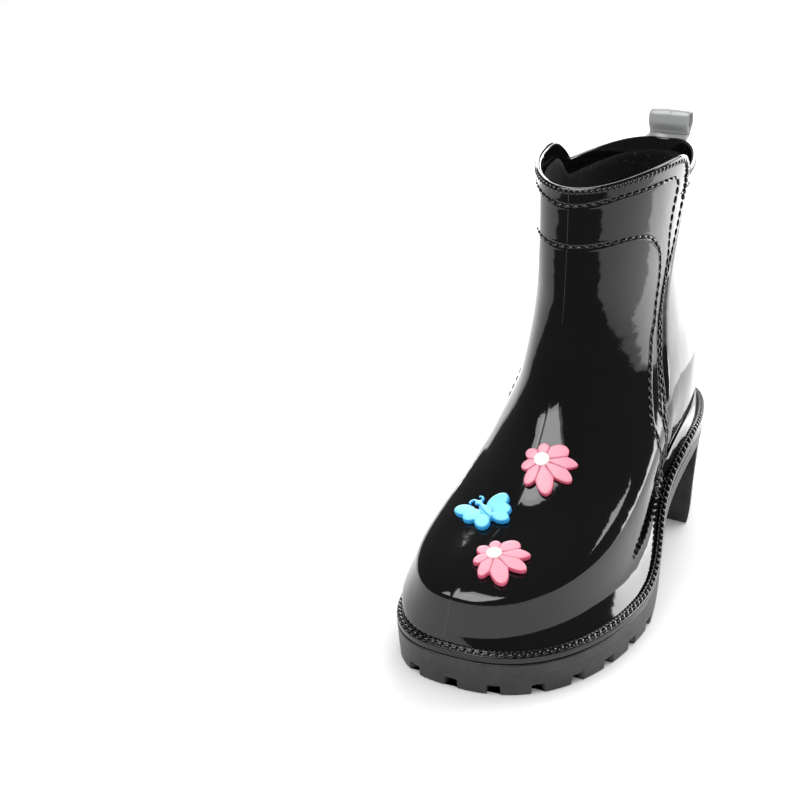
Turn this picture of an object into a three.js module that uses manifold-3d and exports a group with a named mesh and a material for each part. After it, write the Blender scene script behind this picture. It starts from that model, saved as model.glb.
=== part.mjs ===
// Rubber rain boot: glossy moulded ankle boot for the left foot, with three soft charms on the vamp.
// Frame: +X lateral (outer side of the foot), toe towards -Y, +Z up, millimetres.
import * as THREE from "three";
import { mergeVertices } from "three/addons/utils/BufferGeometryUtils.js";
import Module from "manifold-3d";

const wasm = await Module();
wasm.setup();

// ---------- driving dimensions (mm) ----------
// One row per level from the feather line (t = 0) to the topline (t = 1). f is measured forward
// from the heel, z up from the ground.
// t, front f, front z, back f, back z, widest place (0 back .. 1 front), lateral half width,
// medial half width, front roundness, back roundness, waist pinch, heel taper, inward toe swing
const LEVELS = [
  [0.0, 248.5, 38, -6, 57, 0.67, 60, 46, 2.5, 2.9, 0.2, 0.31, -1],
  [0.12, 247.5, 38, -7.5, 69, 0.69, 53, 48, 2.35, 2.9, 0.15, 0.29, -1],
  [0.28, 245.5, 49.5, -8.5, 81, 0.64, 51, 44, 2.3, 2.6, 0.1, 0.22, 1.5],
  [0.45, 183, 69.5, -4, 108.5, 0.57, 44, 42, 2.0, 2.3, 0.05, 0.13, 3],
  [0.62, 143, 107.5, 6.5, 135, 0.54, 35, 35, 2.05, 2.0, 0, 0.04, 0],
  [0.8, 129, 153.5, 12, 165, 0.54, 31, 32, 2.1, 1.9, 0, 0.04, 0],
  [1.0, 126, 207.5, 5, 208, 0.5, 36, 37, 2.05, 1.9, 0, 0.04, 0],
];
const SEAT_Z = 64; // feather line height at the heel seat
const BALL_Z = 20.2; // feather line height at the ball
const TOE_RISE = 0.3; // toe spring of the feather line
const SEAT_F = 51; // the seat ends and the slope starts
const BALL_F = 165.7; // the slope ends at the ball
const LENGTH = 248.5; // feather line length
const WAIST_LATERAL = 0.78;
const WAIST_MEDIAL = 1.3;
const WAIST_AT = 0.42;
const WAIST_SPAN = 0.143;
const TOP_ARCH = 8; // the topline rises this much at the sides

const SHELL = 2.3; // wall of the moulded upper
const SEAM_GAP = 0.9; // between the two panels, in millimetres along the edge
const LINING_GAP = 0.85;
const LINING = 0.8;
const WELT_OUT = 3.0; // the sole edge stands out this far
const WELT_DROP = 4.0; // and lies this far below the feather line
const HEEL_BREAST_F = 40; // front face of the heel block at the ground
const NOTCH_PITCH = 21; // lug spacing along the sole edge
const NOTCH_W = 6;
const NOTCH_H = 4.6;
const NOTCH_DEEP = 9;
const TAB_W = 23;
const TAB_H = 14.6; // free height of the pull tab above the rim
const TAB_T = 1.1;
const TAB_GAP = 5.2; // the plies part by this much below the fold
const TAB_LEAN = 0.16; // the loop leans backwards as it rises

// ---------- small maths ----------
const clamp = (x, a, b) => Math.min(b, Math.max(a, x));
const smooth = (x) => {
  const u = clamp(x, 0, 1);
  return u * u * (3 - 2 * u);
};

// Shape-keeping cubic through the points (xs, ys).
function curve(xs, ys) {
  const n = xs.length;
  const h = [];
  const d = [];
  for (let i = 0; i < n - 1; i++) {
    h.push(xs[i + 1] - xs[i]);
    d.push((ys[i + 1] - ys[i]) / h[i]);
  }
  const end = (h0, h1, d0, d1) => {
    let m = ((2 * h0 + h1) * d0 - h0 * d1) / (h0 + h1);
    if (Math.sign(m) !== Math.sign(d0)) m = 0;
    else if (Math.sign(d0) !== Math.sign(d1) && Math.abs(m) > 3 * Math.abs(d0)) m = 3 * d0;
    return m;
  };
  const m = [n > 2 ? end(h[0], h[1], d[0], d[1]) : d[0]];
  for (let i = 1; i < n - 1; i++) {
    if (d[i - 1] * d[i] <= 0) {
      m.push(0);
      continue;
    }
    const a = 2 * h[i] + h[i - 1];
    const b = h[i] + 2 * h[i - 1];
    m.push((a + b) / (a / d[i - 1] + b / d[i]));
  }
  m.push(n > 2 ? end(h[n - 2], h[n - 3], d[n - 2], d[n - 3]) : d[0]);
  return (x) => {
    let i = 0;
    while (i < n - 2 && x > xs[i + 1]) i++;
    const s = clamp((x - xs[i]) / h[i], -0.2, 1.2);
    const s2 = s * s;
    const s3 = s2 * s;
    const a = (2 * s3 - 3 * s2 + 1) * ys[i] + (s3 - 2 * s2 + s) * h[i] * m[i];
    return a + (3 * s2 - 2 * s3) * ys[i + 1] + (s3 - s2) * h[i] * m[i + 1];
  };
}
const LV = LEVELS[0].map((_, k) => curve(LEVELS.map((r) => r[0]), LEVELS.map((r) => r[k])));

// Height of the feather line above the ground at f.
function footZ(f) {
  const z = SEAT_Z + (BALL_Z - SEAT_Z) * smooth((f - SEAT_F) / (BALL_F - SEAT_F));
  const v = clamp((f - BALL_F) / (LENGTH - BALL_F), 0, 1.2);
  return z + TOE_RISE * v * v;
}

// Outer skin of the boot: th runs round from the toe (0) over the lateral side, t climbs.
function skin(th, t) {
  const g = LV.map((c) => c(t));
  const [, ff, zf, fb, zb, at, wl, wm, nf, nb, waist, taper, toe] = g;
  const c = Math.cos(th);
  const s = Math.sin(th);
  const n = c >= 0 ? nf : nb;
  const fw = fb + (ff - fb) * at;
  const reach = c >= 0 ? ff - fw : fw - fb;
  const f = fw + reach * Math.sign(c) * Math.pow(Math.abs(c), 2 / n);
  const rel = (f - fb) / (ff - fb);
  const q = smooth((at - rel) / at);
  const side = s >= 0 ? WAIST_LATERAL : WAIST_MEDIAL;
  const pinch = waist * side * Math.exp(-(((rel - WAIST_AT) / WAIST_SPAN) ** 2));
  const w = s >= 0 ? wl : wm;
  const k = clamp((rel - 0.45) / 0.55, 0, 1);
  const x = w * Math.sign(s) * Math.pow(Math.abs(s), 2 / n) * (1 - taper * q - pinch) + toe * k * k;
  const z0 = LV[4](0) + (LV[2](0) - LV[4](0)) * rel;
  let z = zb + (zf - zb) * rel + (footZ(f) - z0) * Math.pow(1 - clamp(t, 0, 1), 3);
  z += TOP_ARCH * clamp((t - 0.6) / 0.4, 0, 1) ** 2 * (1 - (2 * rel - 1) ** 2);
  return new THREE.Vector3(x, -f, z);
}

function normal(th, t) {
  const a = 0.02;
  const b = 0.012;
  const t0 = clamp(t - b, 0, 1);
  const t1 = clamp(t + b, 0, 1);
  const u = skin(th + a, t).sub(skin(th - a, t));
  const v = skin(th, t1).sub(skin(th, t0));
  return u.cross(v).normalize();
}
// Even steps round the boot: denser where the outline runs straight at the toe, sides and heel.
const warp = (a) => a - 0.15 * Math.sin(4 * a);
function unwarp(th) {
  let a = th;
  for (let i = 0; i < 12; i++) a -= (warp(a) - th) / (1 - 0.6 * Math.cos(4 * a) + 0.05);
  return a;
}
const shell = (th, t, off) => skin(th, t).addScaledVector(normal(th, t), off);

// ---------- solids ----------
function mesh(name, verts, tris, look) {
  let vol = 0;
  for (const [a, b, c] of tris) vol += verts[a].dot(verts[b].clone().cross(verts[c]));
  const pos = [];
  verts.forEach((v) => pos.push(v.x, v.y, v.z));
  const idx = tris.flatMap(([a, b, c]) => (vol < 0 ? [a, c, b] : [a, b, c]));
  const g = new THREE.BufferGeometry();
  g.setAttribute("position", new THREE.Float32BufferAttribute(pos, 3));
  g.setIndex(idx);
  const m = new THREE.Mesh(g, new THREE.MeshStandardMaterial(look));
  m.name = name;
  return m;
}

// A solid between two sheets of points [row][column]. With wrap the columns close on themselves.
function between(outer, inner, wrap) {
  const R = outer.length;
  const C = outer[0].length;
  const verts = [...outer.flat(), ...inner.flat()];
  const o = (i, j) => i * C + (j % C);
  const n = (i, j) => R * C + i * C + (j % C);
  const tris = [];
  const quad = (a, b, c, d) => tris.push([a, b, c], [a, c, d]);
  const last = wrap ? C : C - 1;
  for (let i = 0; i < R - 1; i++) {
    for (let j = 0; j < last; j++) {
      quad(o(i, j), o(i, j + 1), o(i + 1, j + 1), o(i + 1, j));
      quad(n(i, j), n(i + 1, j), n(i + 1, j + 1), n(i, j + 1));
    }
    if (!wrap) {
      quad(o(i, 0), o(i + 1, 0), n(i + 1, 0), n(i, 0));
      quad(o(i, C - 1), n(i, C - 1), n(i + 1, C - 1), o(i + 1, C - 1));
    }
  }
  for (let j = 0; j < last; j++) {
    quad(o(0, j), n(0, j), n(0, j + 1), o(0, j + 1));
    quad(o(R - 1, j), o(R - 1, j + 1), n(R - 1, j + 1), n(R - 1, j));
  }
  return [verts, tris];
}

// A solid from closed rings one above the other; point j faces point N-j across the foot.
function stack(rings) {
  const N = rings[0].length;
  const verts = rings.flat();
  const tris = [];
  const at = (r, j) => r * N + ((j + N) % N);
  for (let r = 0; r < rings.length - 1; r++) {
    for (let j = 0; j < N; j++) {
      tris.push([at(r, j), at(r, j + 1), at(r + 1, j + 1)]);
      tris.push([at(r, j), at(r + 1, j + 1), at(r + 1, j)]);
    }
  }
  const cap = (r, flip) => {
    const put = (a, b, c) => tris.push(flip ? [a, c, b] : [a, b, c]);
    for (let j = 0; j < N / 2; j++) {
      const a = at(r, j);
      const b = at(r, j + 1);
      const c = at(r, N - j - 1);
      const d = at(r, N - j);
      if (j > 0) put(a, c, d);
      if (j + 1 < N / 2) put(a, b, c);
    }
  };
  cap(0, true);
  cap(rings.length - 1, false);
  return [verts, tris];
}

function toManifold(verts, tris) {
  let vol = 0;
  for (const [a, b, c] of tris) vol += verts[a].dot(verts[b].clone().cross(verts[c]));
  const vp = new Float32Array(verts.flatMap((v) => [v.x, v.y, v.z]));
  const tv = new Uint32Array(tris.flatMap(([a, b, c]) => (vol < 0 ? [a, c, b] : [a, b, c])));
  const m = new wasm.Mesh({ numProp: 3, vertProperties: vp, triVerts: tv });
  m.merge();
  return new wasm.Manifold(m);
}
// Trimming can leave crumbs: only the largest body is kept.
function fromManifold(name, solid, look) {
  const bodies = solid.decompose().sort((a, b) => b.volume() - a.volume());
  const m = bodies[0].getMesh();
  const verts = [];
  for (let i = 0; i < m.vertProperties.length; i += m.numProp)
    verts.push(new THREE.Vector3(...m.vertProperties.slice(i, i + 3)));
  const tris = [];
  for (let i = 0; i < m.triVerts.length; i += 3) tris.push([...m.triVerts.slice(i, i + 3)]);
  return mesh(name, verts, tris, look);
}

// ---------- looks ----------
const PVC = { color: 0x0b0b0c, roughness: 0.08, metalness: 0 };
const SOLE = { color: 0x1b1b1c, roughness: 0.45, metalness: 0 };
const TEXTILE = { color: 0x2b2b2d, roughness: 0.95, metalness: 0 };
const FOAM = { color: 0x3a3a3c, roughness: 0.9, metalness: 0 };
const BOARD = { color: 0x9b8a6a, roughness: 0.85, metalness: 0 };
const STEEL = { color: 0x9a9da0, roughness: 0.35, metalness: 1 };
const FILLER = { color: 0x55504a, roughness: 0.8, metalness: 0 };
const PINK = { color: 0xf49ab0, roughness: 0.4, metalness: 0 };
const WHITE = { color: 0xf6f3ee, roughness: 0.4, metalness: 0 };
const BLUE = { color: 0x66cdf5, roughness: 0.4, metalness: 0 };

const group = new THREE.Group();
const RAD = Math.PI / 180;

// ---------- foot-shaped rings ----------
const RN = 64;
function footPoint(th, off) {
  const a = 0.01;
  const u = skin(th + a, 0).sub(skin(th - a, 0));
  const n = new THREE.Vector3(u.y, -u.x, 0).normalize();
  const p = skin(th, 0);
  if (n.dot(new THREE.Vector3(p.x, p.y + 120, 0)) < 0) n.negate();
  return p.addScaledVector(n, off).setZ(0);
}
function footRing(off, zOf) {
  const ring = [];
  for (let j = 0; j < RN; j++) {
    const p = footPoint(warp((2 * Math.PI * j) / RN), off);
    p.z = zOf(-p.y);
    ring.push(p);
  }
  return ring;
}

// Everything under the feather line, used to trim the lower edges of the upper and the lining.
const below = toManifold(
  ...stack([footRing(9, () => -9), footRing(9, (f) => footZ(f)), footRing(-20, (f) => footZ(f))]),
);

// ---------- panels of the upper ----------
// Rear edge of the front panel: angle round the boot against height, with a rounded top ear.
const edgeLine = curve(
  [0, 0.1, 0.2, 0.3, 0.36, 0.42, 0.5, 0.6, 0.68, 0.74, 0.78, 0.82, 0.87, 0.92, 1],
  [106.5, 107, 106.5, 105, 101, 95, 89.3, 84.5, 85, 88, 93, 99, 104, 106, 105],
);
function edgeAngle(t) {
  const s = clamp((t - 0.915) / 0.085, 0, 1);
  return edgeLine(t) - 24 * (1 - Math.sqrt(1 - s * s));
}
// Height of the free top edge round the boot: full on the ears, lower where the rear panel meets them.
function topT(th) {
  const a = Math.abs(Math.atan2(Math.sin(th), Math.cos(th))) / RAD;
  if (a < 84) return 1;
  if (a < 98) return 1 - 0.038 * smooth((a - 84) / 14);
  return 0.962 + 0.038 * smooth((a - 98) / 70);
}
// Rows bunch where the wall bends most.
const ROWS = [0, 0.06, 0.12, 0.2, 0.25, 0.28, 0.31];
for (let t = 0.34; t < 0.6; t += 0.04) ROWS.push(t);
ROWS.push(0.64, 0.7, 0.76, 0.82, 0.87, 0.915);
const FRONT_ROWS = [...ROWS, 0.94, 0.96, 0.975, 0.987, 0.9955, 1];

function panel(rows, lo, hi, cols, offOut, offIn, rise) {
  const sheet = (off) =>
    rows.map((t) => {
      const row = [];
      for (let j = 0; j <= cols; j++) {
        const a = unwarp(lo(t));
        const th = warp(a + ((unwarp(hi(t)) - a) * j) / cols);
        row.push(shell(th, rise ? rise(t, th) : t, off));
      }
      return row;
    });
  return between(sheet(offOut), sheet(offIn), false);
}
const fe = (t) => edgeAngle(t) * RAD;
const frontFull = panel(FRONT_ROWS, (t) => -fe(t), fe, 34, 0, -SHELL);
group.add(fromManifold("upper_front_panel", toManifold(...frontFull).subtract(below), PVC));

// The rear panel is cut to the front panel's edge, one seam gap behind it.
const rearRows = ROWS.map((t) => t / 0.915);
const rearT = (r, th) => r * (Math.abs(th - Math.PI) < 82 * RAD ? topT(th) : 0.962);
const rearEdge = (r) => (edgeAngle(Math.min(r * 0.962, 0.962)) - 6) * RAD;
const rearFull = panel(rearRows, rearEdge, (r) => 2 * Math.PI - rearEdge(r), 26, -0.25, -SHELL, rearT);
const cutRows = [-0.03, ...FRONT_ROWS, 1.04];
const cutEdge = (t) => fe(clamp(t, 0, 1)) + (SEAM_GAP / 0.8) * RAD;
const frontSpace = panel(cutRows, (t) => -cutEdge(t), cutEdge, 34, 2.5, -SHELL - 3);
const rearSolid = toManifold(...rearFull).subtract(toManifold(...frontSpace));
group.add(fromManifold("upper_rear_panel", rearSolid.subtract(below), PVC));

// ---------- lining ----------
const LN = 44;
const liningRows = [...ROWS.slice(0, -1), 0.9, 0.93];
const liningSheet = (off) =>
  liningRows.map((t, i) => {
    const row = [];
    for (let j = 0; j < LN; j++) {
      const th = warp((2 * Math.PI * j) / LN);
      const top = topT(th) - 0.028;
      const free = clamp((i - (liningRows.length - 5)) / 4, 0, 1);
      row.push(shell(th, t + free * (top - 0.93) * (t > 0.8 ? 1 : 0), off));
    }
    return row;
  });
const liningOff = -SHELL - LINING_GAP;
const liningFull = between(liningSheet(liningOff), liningSheet(liningOff - LINING), true);
group.add(fromManifold("lining", toManifold(...liningFull).subtract(below.translate([0, 0, 0.6])), TEXTILE));

// Underside of the sole: flat under the forefoot, arched up to the heel breast.
const ARCH_END = 156;
function underZ(f) {
  if (f >= ARCH_END) return 0;
  const thick = 9 + 8 * smooth((f - 60) / 95);
  const z = footZ(f) - WELT_DROP - thick;
  return Math.max(0, z) * smooth((ARCH_END - f) / 12);
}

// ---------- outsole with lugs and the pocket for the shank ----------
const soleRings = [
  footRing(WELT_OUT - 1.6, underZ),
  footRing(WELT_OUT - 1.0, (f) => underZ(f) + 0.6),
  footRing(WELT_OUT, (f) => footZ(f) - WELT_DROP - 1.2),
  footRing(WELT_OUT - 0.5, (f) => footZ(f) - WELT_DROP),
  footRing(0.15, (f) => footZ(f) - WELT_DROP),
  footRing(-0.25, (f) => footZ(f) - 0.6),
];
let sole = toManifold(...stack(soleRings));

function block(w, l, h) {
  const box = new THREE.BoxGeometry(w, l, h);
  box.deleteAttribute("normal");
  box.deleteAttribute("uv");
  const g = mergeVertices(box);
  const vp = new Float32Array(g.getAttribute("position").array);
  return new wasm.Manifold(new wasm.Mesh({ numProp: 3, vertProperties: vp, triVerts: new Uint32Array(g.index.array) }));
}
const arc = [0];
const ARC_N = 360;
for (let k = 1; k <= ARC_N; k++) {
  const a = footPoint((Math.PI * (k - 1)) / ARC_N, 2);
  const b = footPoint((Math.PI * k) / ARC_N, 2);
  arc.push(arc[k - 1] + a.distanceTo(b));
}
const arcM = [0];
for (let k = 1; k <= ARC_N; k++) {
  const a = footPoint((-Math.PI * (k - 1)) / ARC_N, 2);
  const b = footPoint((-Math.PI * k) / ARC_N, 2);
  arcM.push(arcM[k - 1] + a.distanceTo(b));
}
function atArc(s) {
  const list = s >= 0 ? arc : arcM;
  let k = 0;
  while (k < ARC_N && list[k + 1] < Math.abs(s)) k++;
  return (Math.sign(s || 1) * Math.PI * k) / ARC_N;
}
const notches = [];
for (let s = -143; s < 136; s += NOTCH_PITCH) {
  const th = atArc(s);
  const p = footPoint(th, 2);
  const q = footPoint(th, -4);
  const dir = Math.atan2(p.y - q.y, p.x - q.x) / RAD;
  const cut = block(NOTCH_DEEP * 2, NOTCH_W, NOTCH_H * 2).rotate([0, 0, dir]);
  notches.push(cut.translate([p.x, p.y, 0]));
}
sole = sole.subtract(wasm.Manifold.union(notches));

// Tread grooves across the forefoot.
for (let f = 172; f < 236; f += 16) {
  sole = sole.subtract(block(64, 4, 5).translate([4, -f, 0]));
}

// Shank: a sprung steel strip let into the waist, following the slope.
const SHANK_W = 13;
const SHANK_T = 1.4;
function strip(width, f0, f1, zTop, zLow) {
  const outer = [];
  const inner = [];
  for (let i = 0; i <= 12; i++) {
    const f = f0 + ((f1 - f0) * i) / 12;
    outer.push([-width / 2, width / 2].map((x) => new THREE.Vector3(x + 2, -f, zTop(f))));
    inner.push([-width / 2, width / 2].map((x) => new THREE.Vector3(x + 2, -f, zLow(f))));
  }
  return between(outer, inner, false);
}
const pocket = strip(SHANK_W + 0.8, 29.6, 145.4, (f) => footZ(f) + 6, (f) => footZ(f) - 2.9);
sole = sole.subtract(toManifold(...pocket));
group.add(fromManifold("outsole", sole, SOLE));
const shankSolid = strip(SHANK_W, 30, 145, (f) => footZ(f) - 1.1, (f) => footZ(f) - 1.1 - SHANK_T);
group.add(mesh("shank", ...shankSolid, STEEL));

// ---------- heel block ----------
// Ring of the heel at one height: the rear part of the foot outline closed by the breast.
function heelRing(off, breast, z, K = 20) {
  let lo = 60 * RAD;
  let hi = Math.PI;
  for (let i = 0; i < 40; i++) {
    const mid = (lo + hi) / 2;
    if (-footPoint(mid, off).y > breast) lo = mid;
    else hi = mid;
  }
  const a0 = lo;
  lo = 60 * RAD;
  hi = Math.PI;
  for (let i = 0; i < 40; i++) {
    const mid = (lo + hi) / 2;
    if (-footPoint(-mid, off).y > breast) lo = mid;
    else hi = mid;
  }
  const b0 = lo;
  const half = [];
  const other = [];
  for (let k = 0; k <= K; k++) {
    const p = footPoint(a0 + ((Math.PI - a0) * k) / K, off);
    p.z = z;
    half.push(p);
    const q = footPoint(-(b0 + ((Math.PI - b0) * k) / K), off);
    q.z = z;
    other.push(q);
  }
  const start = half[0].clone().add(other[0]).multiplyScalar(0.5);
  return [start, ...half, ...other.slice(0, -1).reverse()];
}
const HEEL_TOP = SEAT_Z - WELT_DROP - 9 - 0.35;
let heel = toManifold(
  ...stack([
    heelRing(-3.6, HEEL_BREAST_F - 0.6, 0),
    heelRing(-3.0, HEEL_BREAST_F, 0.6),
    heelRing(-0.6, HEEL_BREAST_F + 1.2, HEEL_TOP * 0.5),
    heelRing(1.6, HEEL_BREAST_F + 3.2, HEEL_TOP),
  ]),
);
// The heel top lifts off the sole by a hair and is pocketed for a light core.
const CORE_FLOOR = 9;
let well = toManifold(
  ...stack([heelRing(-10, HEEL_BREAST_F - 7, CORE_FLOOR), heelRing(-8, HEEL_BREAST_F - 6, HEEL_TOP + 3)]),
);
heel = heel.subtract(well);
for (const k of [-1.5, -0.5, 0.5, 1.5]) {
  const th = Math.PI + k * 22 * RAD;
  const p = footPoint(th, -3);
  const q = footPoint(th, -9);
  const dir = Math.atan2(p.y - q.y, p.x - q.x) / RAD;
  heel = heel.subtract(block(12, 5, 9).rotate([0, 0, dir]).translate([p.x, p.y, 0]));
}
group.add(fromManifold("heel_block", heel, SOLE));
const core = stack([
  heelRing(-10.6, HEEL_BREAST_F - 7.5, CORE_FLOOR + 0.5),
  heelRing(-8.6, HEEL_BREAST_F - 6.5, HEEL_TOP - 0.4),
]);
group.add(mesh("heel_core", ...core, FILLER));

// ---------- welt ----------
// Rope-edged strip that hides the joint between upper and sole.
const WELT_N = RN;
function weltRing(off, dz) {
  const ring = [];
  for (let j = 0; j < WELT_N; j++) {
    const p = footPoint(warp((2 * Math.PI * j) / WELT_N), off);
    p.z = footZ(-p.y) + dz;
    ring.push(p);
  }
  return ring;
}
const weltSection = [
  [0.55, -WELT_DROP + 0.35],
  [0.55, 0.7],
  [1.25, 1.0],
  [2.2, 0.2],
  [2.9, -1.9],
  [2.6, -WELT_DROP + 0.35],
];
function tubeOf(rings) {
  const N = rings[0].length;
  const R = rings.length;
  const tris = [];
  for (let r = 0; r < R; r++)
    for (let j = 0; j < N; j++) {
      const a = r * N + j;
      const b = r * N + ((j + 1) % N);
      const c = ((r + 1) % R) * N + ((j + 1) % N);
      const d = ((r + 1) % R) * N + j;
      tris.push([a, b, c], [a, c, d]);
    }
  return [rings.flat(), tris];
}
const upperSpace = [];
for (const t of ROWS.slice(0, 8)) {
  const row = [];
  for (let j = 0; j < RN; j++) row.push(shell(warp((2 * Math.PI * j) / RN), t, 1.1));
  upperSpace.push(row);
}
const weltSolid = toManifold(...tubeOf(weltSection.map(([o, dz]) => weltRing(o, dz))));
const frontWide = toManifold(...panel(FRONT_ROWS, (t) => -fe(t) - 0.03, (t) => fe(t) + 0.03, 34, 0.75, -SHELL));
const rearWide = toManifold(...panel(rearRows, rearEdge, (r) => 2 * Math.PI - rearEdge(r), 26, 0.4, -SHELL, rearT));
const inside = [toManifold(...stack(upperSpace)), frontWide, rearWide];
group.add(fromManifold("welt", weltSolid.subtract(wasm.Manifold.union(inside)), SOLE));

// ---------- inside the boot ----------
const board = stack([
  footRing(-6.6, (f) => footZ(f) + 0.7),
  footRing(-7.0, (f) => footZ(f) + 2.2),
]);
const liningWide = toManifold(...between(liningSheet(liningOff + 0.3), liningSheet(liningOff - LINING - 0.6), true));
const fitted = (name, parts, look) =>
  group.add(fromManifold(name, toManifold(...parts).subtract(liningWide), look));
fitted("insole_board", board, BOARD);
const bed = stack([
  footRing(-7.6, (f) => footZ(f) + 3.0),
  footRing(-8.8, (f) => footZ(f) + 4.6),
  footRing(-10.2, (f) => footZ(f) + 6.2),
]);
fitted("footbed", bed, FOAM);
const cover = stack([
  footRing(-10.4, (f) => footZ(f) + 7.0),
  footRing(-11, (f) => footZ(f) + 7.8),
]);
fitted("footbed_cover", cover, TEXTILE);

// ---------- pull tab ----------
// A folded strip: two tails run down the outside of the rear panel, the loop stands above the rim.
const tabRows = [];
for (let i = 0; i <= 6; i++) tabRows.push(0.915 + (0.997 - 0.915) * (i / 6));
const tabHalf = TAB_W / 2;
function rearAt(x, t) {
  // angle near the back where the skin is x across
  let th = Math.PI;
  for (let i = 0; i < 12; i++) {
    const p = skin(th, t);
    const q = skin(th + 0.01, t);
    th += clamp(((x - p.x) * 0.01) / (q.x - p.x || -0.01), -0.2, 0.2);
  }
  return th;
}
const anchorSheet = (off) =>
  tabRows.map((t) => {
    const row = [];
    for (let j = 0; j <= 10; j++) {
      const x = -tabHalf + (TAB_W * j) / 10;
      row.push(shell(rearAt(Math.abs(x) < 0.4 ? 0.4 : x, t), t, off));
    }
    return row;
  });
group.add(mesh("pull_tab_anchor", ...between(anchorSheet(1.3), anchorSheet(0.15), false), PVC));

// Side view of the loop: the plies lie together at the root and open into a teardrop at the fold.
const rim = skin(Math.PI, 1);
const rootY = rim.y + 1.9;
const rootZ = rim.z + 0.75 + TAB_T;
function tabOutline(wall) {
  const pts = [];
  const fold = TAB_GAP / 2 + wall;
  const top = rim.z + TAB_H - TAB_T - TAB_GAP / 2;
  const start = wall > 0 ? rootZ : rootZ + 2.6;
  for (let k = 0; k <= 7; k++) {
    const z = start + ((top - start) * k) / 7;
    const open = (TAB_GAP / 2) * smooth((z - rootZ - 0.6) / 5.6);
    pts.push(new THREE.Vector2(wall + Math.max(open, 0.1), z));
  }
  for (let k = 1; k < 8; k++) {
    const a = (Math.PI * k) / 8;
    pts.push(new THREE.Vector2(fold * Math.cos(a), top + fold * Math.sin(a)));
  }
  const half = pts.slice(0, 8).reverse();
  pts.push(...half.map((p) => new THREE.Vector2(-p.x, p.y)));
  for (let k = 1; wall > 0 && k < 6; k++) {
    const a = Math.PI + (Math.PI * k) / 6;
    pts.push(new THREE.Vector2((wall + 0.1) * Math.cos(a), rootZ + (wall + 0.1) * Math.sin(a)));
  }
  return pts;
}
const loop = new THREE.Shape(tabOutline(TAB_T));
loop.holes.push(new THREE.Path(tabOutline(0)));
const loopSolid = new THREE.ExtrudeGeometry(loop, { depth: TAB_W, bevelEnabled: false, steps: 1 });
// The side view lies in (y, z); it is extruded across x and leans backwards with height.
const lp = loopSolid.getAttribute("position");
for (let i = 0; i < lp.count; i++) {
  const z = lp.getY(i);
  lp.setXYZ(i, lp.getZ(i) - TAB_W / 2, rootY + lp.getX(i) + TAB_LEAN * (z - rootZ), z);
}
const loopMesh = new THREE.Mesh(loopSolid, new THREE.MeshStandardMaterial(PVC));
loopMesh.name = "pull_tab";
group.add(loopMesh);

// ---------- charms ----------
// Soft moulded charms follow the curve of the vamp: a flat layout is laid on the skin.
function layout(thC, tC, turn) {
  const p = skin(thC, tC);
  const n = normal(thC, tC);
  const u = new THREE.Vector3(1, 0, 0).addScaledVector(n, -n.x).normalize();
  const v = n.clone().cross(u);
  const c = Math.cos(turn);
  const s = Math.sin(turn);
  return (a, b, h) => {
    const x = a * c - b * s;
    const y = a * s + b * c;
    let th = thC;
    let t = tC;
    for (let i = 0; i < 7; i++) {
      const q = skin(th, t).sub(p);
      const e = 0.002;
      const qa = skin(th + e, t).sub(p).sub(q).divideScalar(e);
      const qb = skin(th, t + e).sub(p).sub(q).divideScalar(e);
      const rx = x - q.dot(u);
      const ry = y - q.dot(v);
      const det = qa.dot(u) * qb.dot(v) - qb.dot(u) * qa.dot(v);
      th += clamp((rx * qb.dot(v) - ry * qb.dot(u)) / det, -0.3, 0.3);
      t += clamp((ry * qa.dot(u) - rx * qa.dot(v)) / det, -0.08, 0.08);
    }
    return shell(th, t, h);
  };
}

// One rounded lobe: centre (cx, cy), half length a along angle dir, half width b, height band.
function lobe(put, cx, cy, a, b, dir, low, high) {
  const K = 10;
  const rings = [
    [1, low],
    [1.0, high - 0.7],
    [0.82, high],
    [0.4, high],
  ];
  const pts = [];
  const ring = (k, h) => {
    const row = [];
    for (let j = 0; j < K; j++) {
      const w = (2 * Math.PI * j) / K;
      const x = a * k * Math.cos(w);
      const y = b * k * Math.sin(w);
      row.push(put(cx + x * Math.cos(dir) - y * Math.sin(dir), cy + x * Math.sin(dir) + y * Math.cos(dir), h));
    }
    return row;
  };
  const rows = [ring(0.5, low), ...rings.map(([k, h]) => ring(k, h))];
  rows.forEach((r) => pts.push(...r));
  const tris = [];
  for (let r = 0; r < rows.length - 1; r++)
    for (let j = 0; j < K; j++) {
      const a0 = r * K + j;
      const b0 = r * K + ((j + 1) % K);
      tris.push([a0, b0, b0 + K], [a0, b0 + K, a0 + K]);
    }
  const bottom = pts.length;
  pts.push(put(cx, cy, low));
  const top = pts.length;
  pts.push(put(cx, cy, high));
  for (let j = 0; j < K; j++) {
    tris.push([bottom, (j + 1) % K, j]);
    const r = (rows.length - 1) * K;
    tris.push([top, r + j, r + ((j + 1) % K)]);
  }
  return toManifold(pts, tris);
}
// Petals of the flower: direction in degrees, reach, half width.
const PETALS = [
  [100, 9.0, 3.2],
  [44, 13.6, 4.6],
  [10, 16.8, 3.6],
  [-22, 18.0, 3.9],
  [-64, 19.6, 4.5],
  [-100, 15.4, 3.4],
  [-141, 10.6, 3.1],
  [162, 9.4, 3.3],
];
const CHARM_LOW = 0.7;
const CHARM_HIGH = 2.9;
function flower(name, thC, tC, turn) {
  const put = layout(thC, tC, turn);
  const parts = PETALS.map(([deg, reach, w]) => {
    const a = deg * RAD;
    const near = 1.4;
    const mid = (reach + near) / 2;
    const half = (reach - near) / 2;
    return lobe(put, mid * Math.cos(a), mid * Math.sin(a), half, w, a, CHARM_LOW, CHARM_HIGH);
  });
  parts.push(lobe(put, 0, 0, 4.4, 4.4, 0, CHARM_LOW, CHARM_HIGH));
  group.add(fromManifold(name + "_petals", wasm.Manifold.union(parts), PINK));
  const centre = lobe(put, 0, 0, 3.7, 3.7, 0, CHARM_HIGH + 0.32, CHARM_HIGH + 1.3);
  group.add(fromManifold(name + "_centre", centre, WHITE));
}
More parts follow.
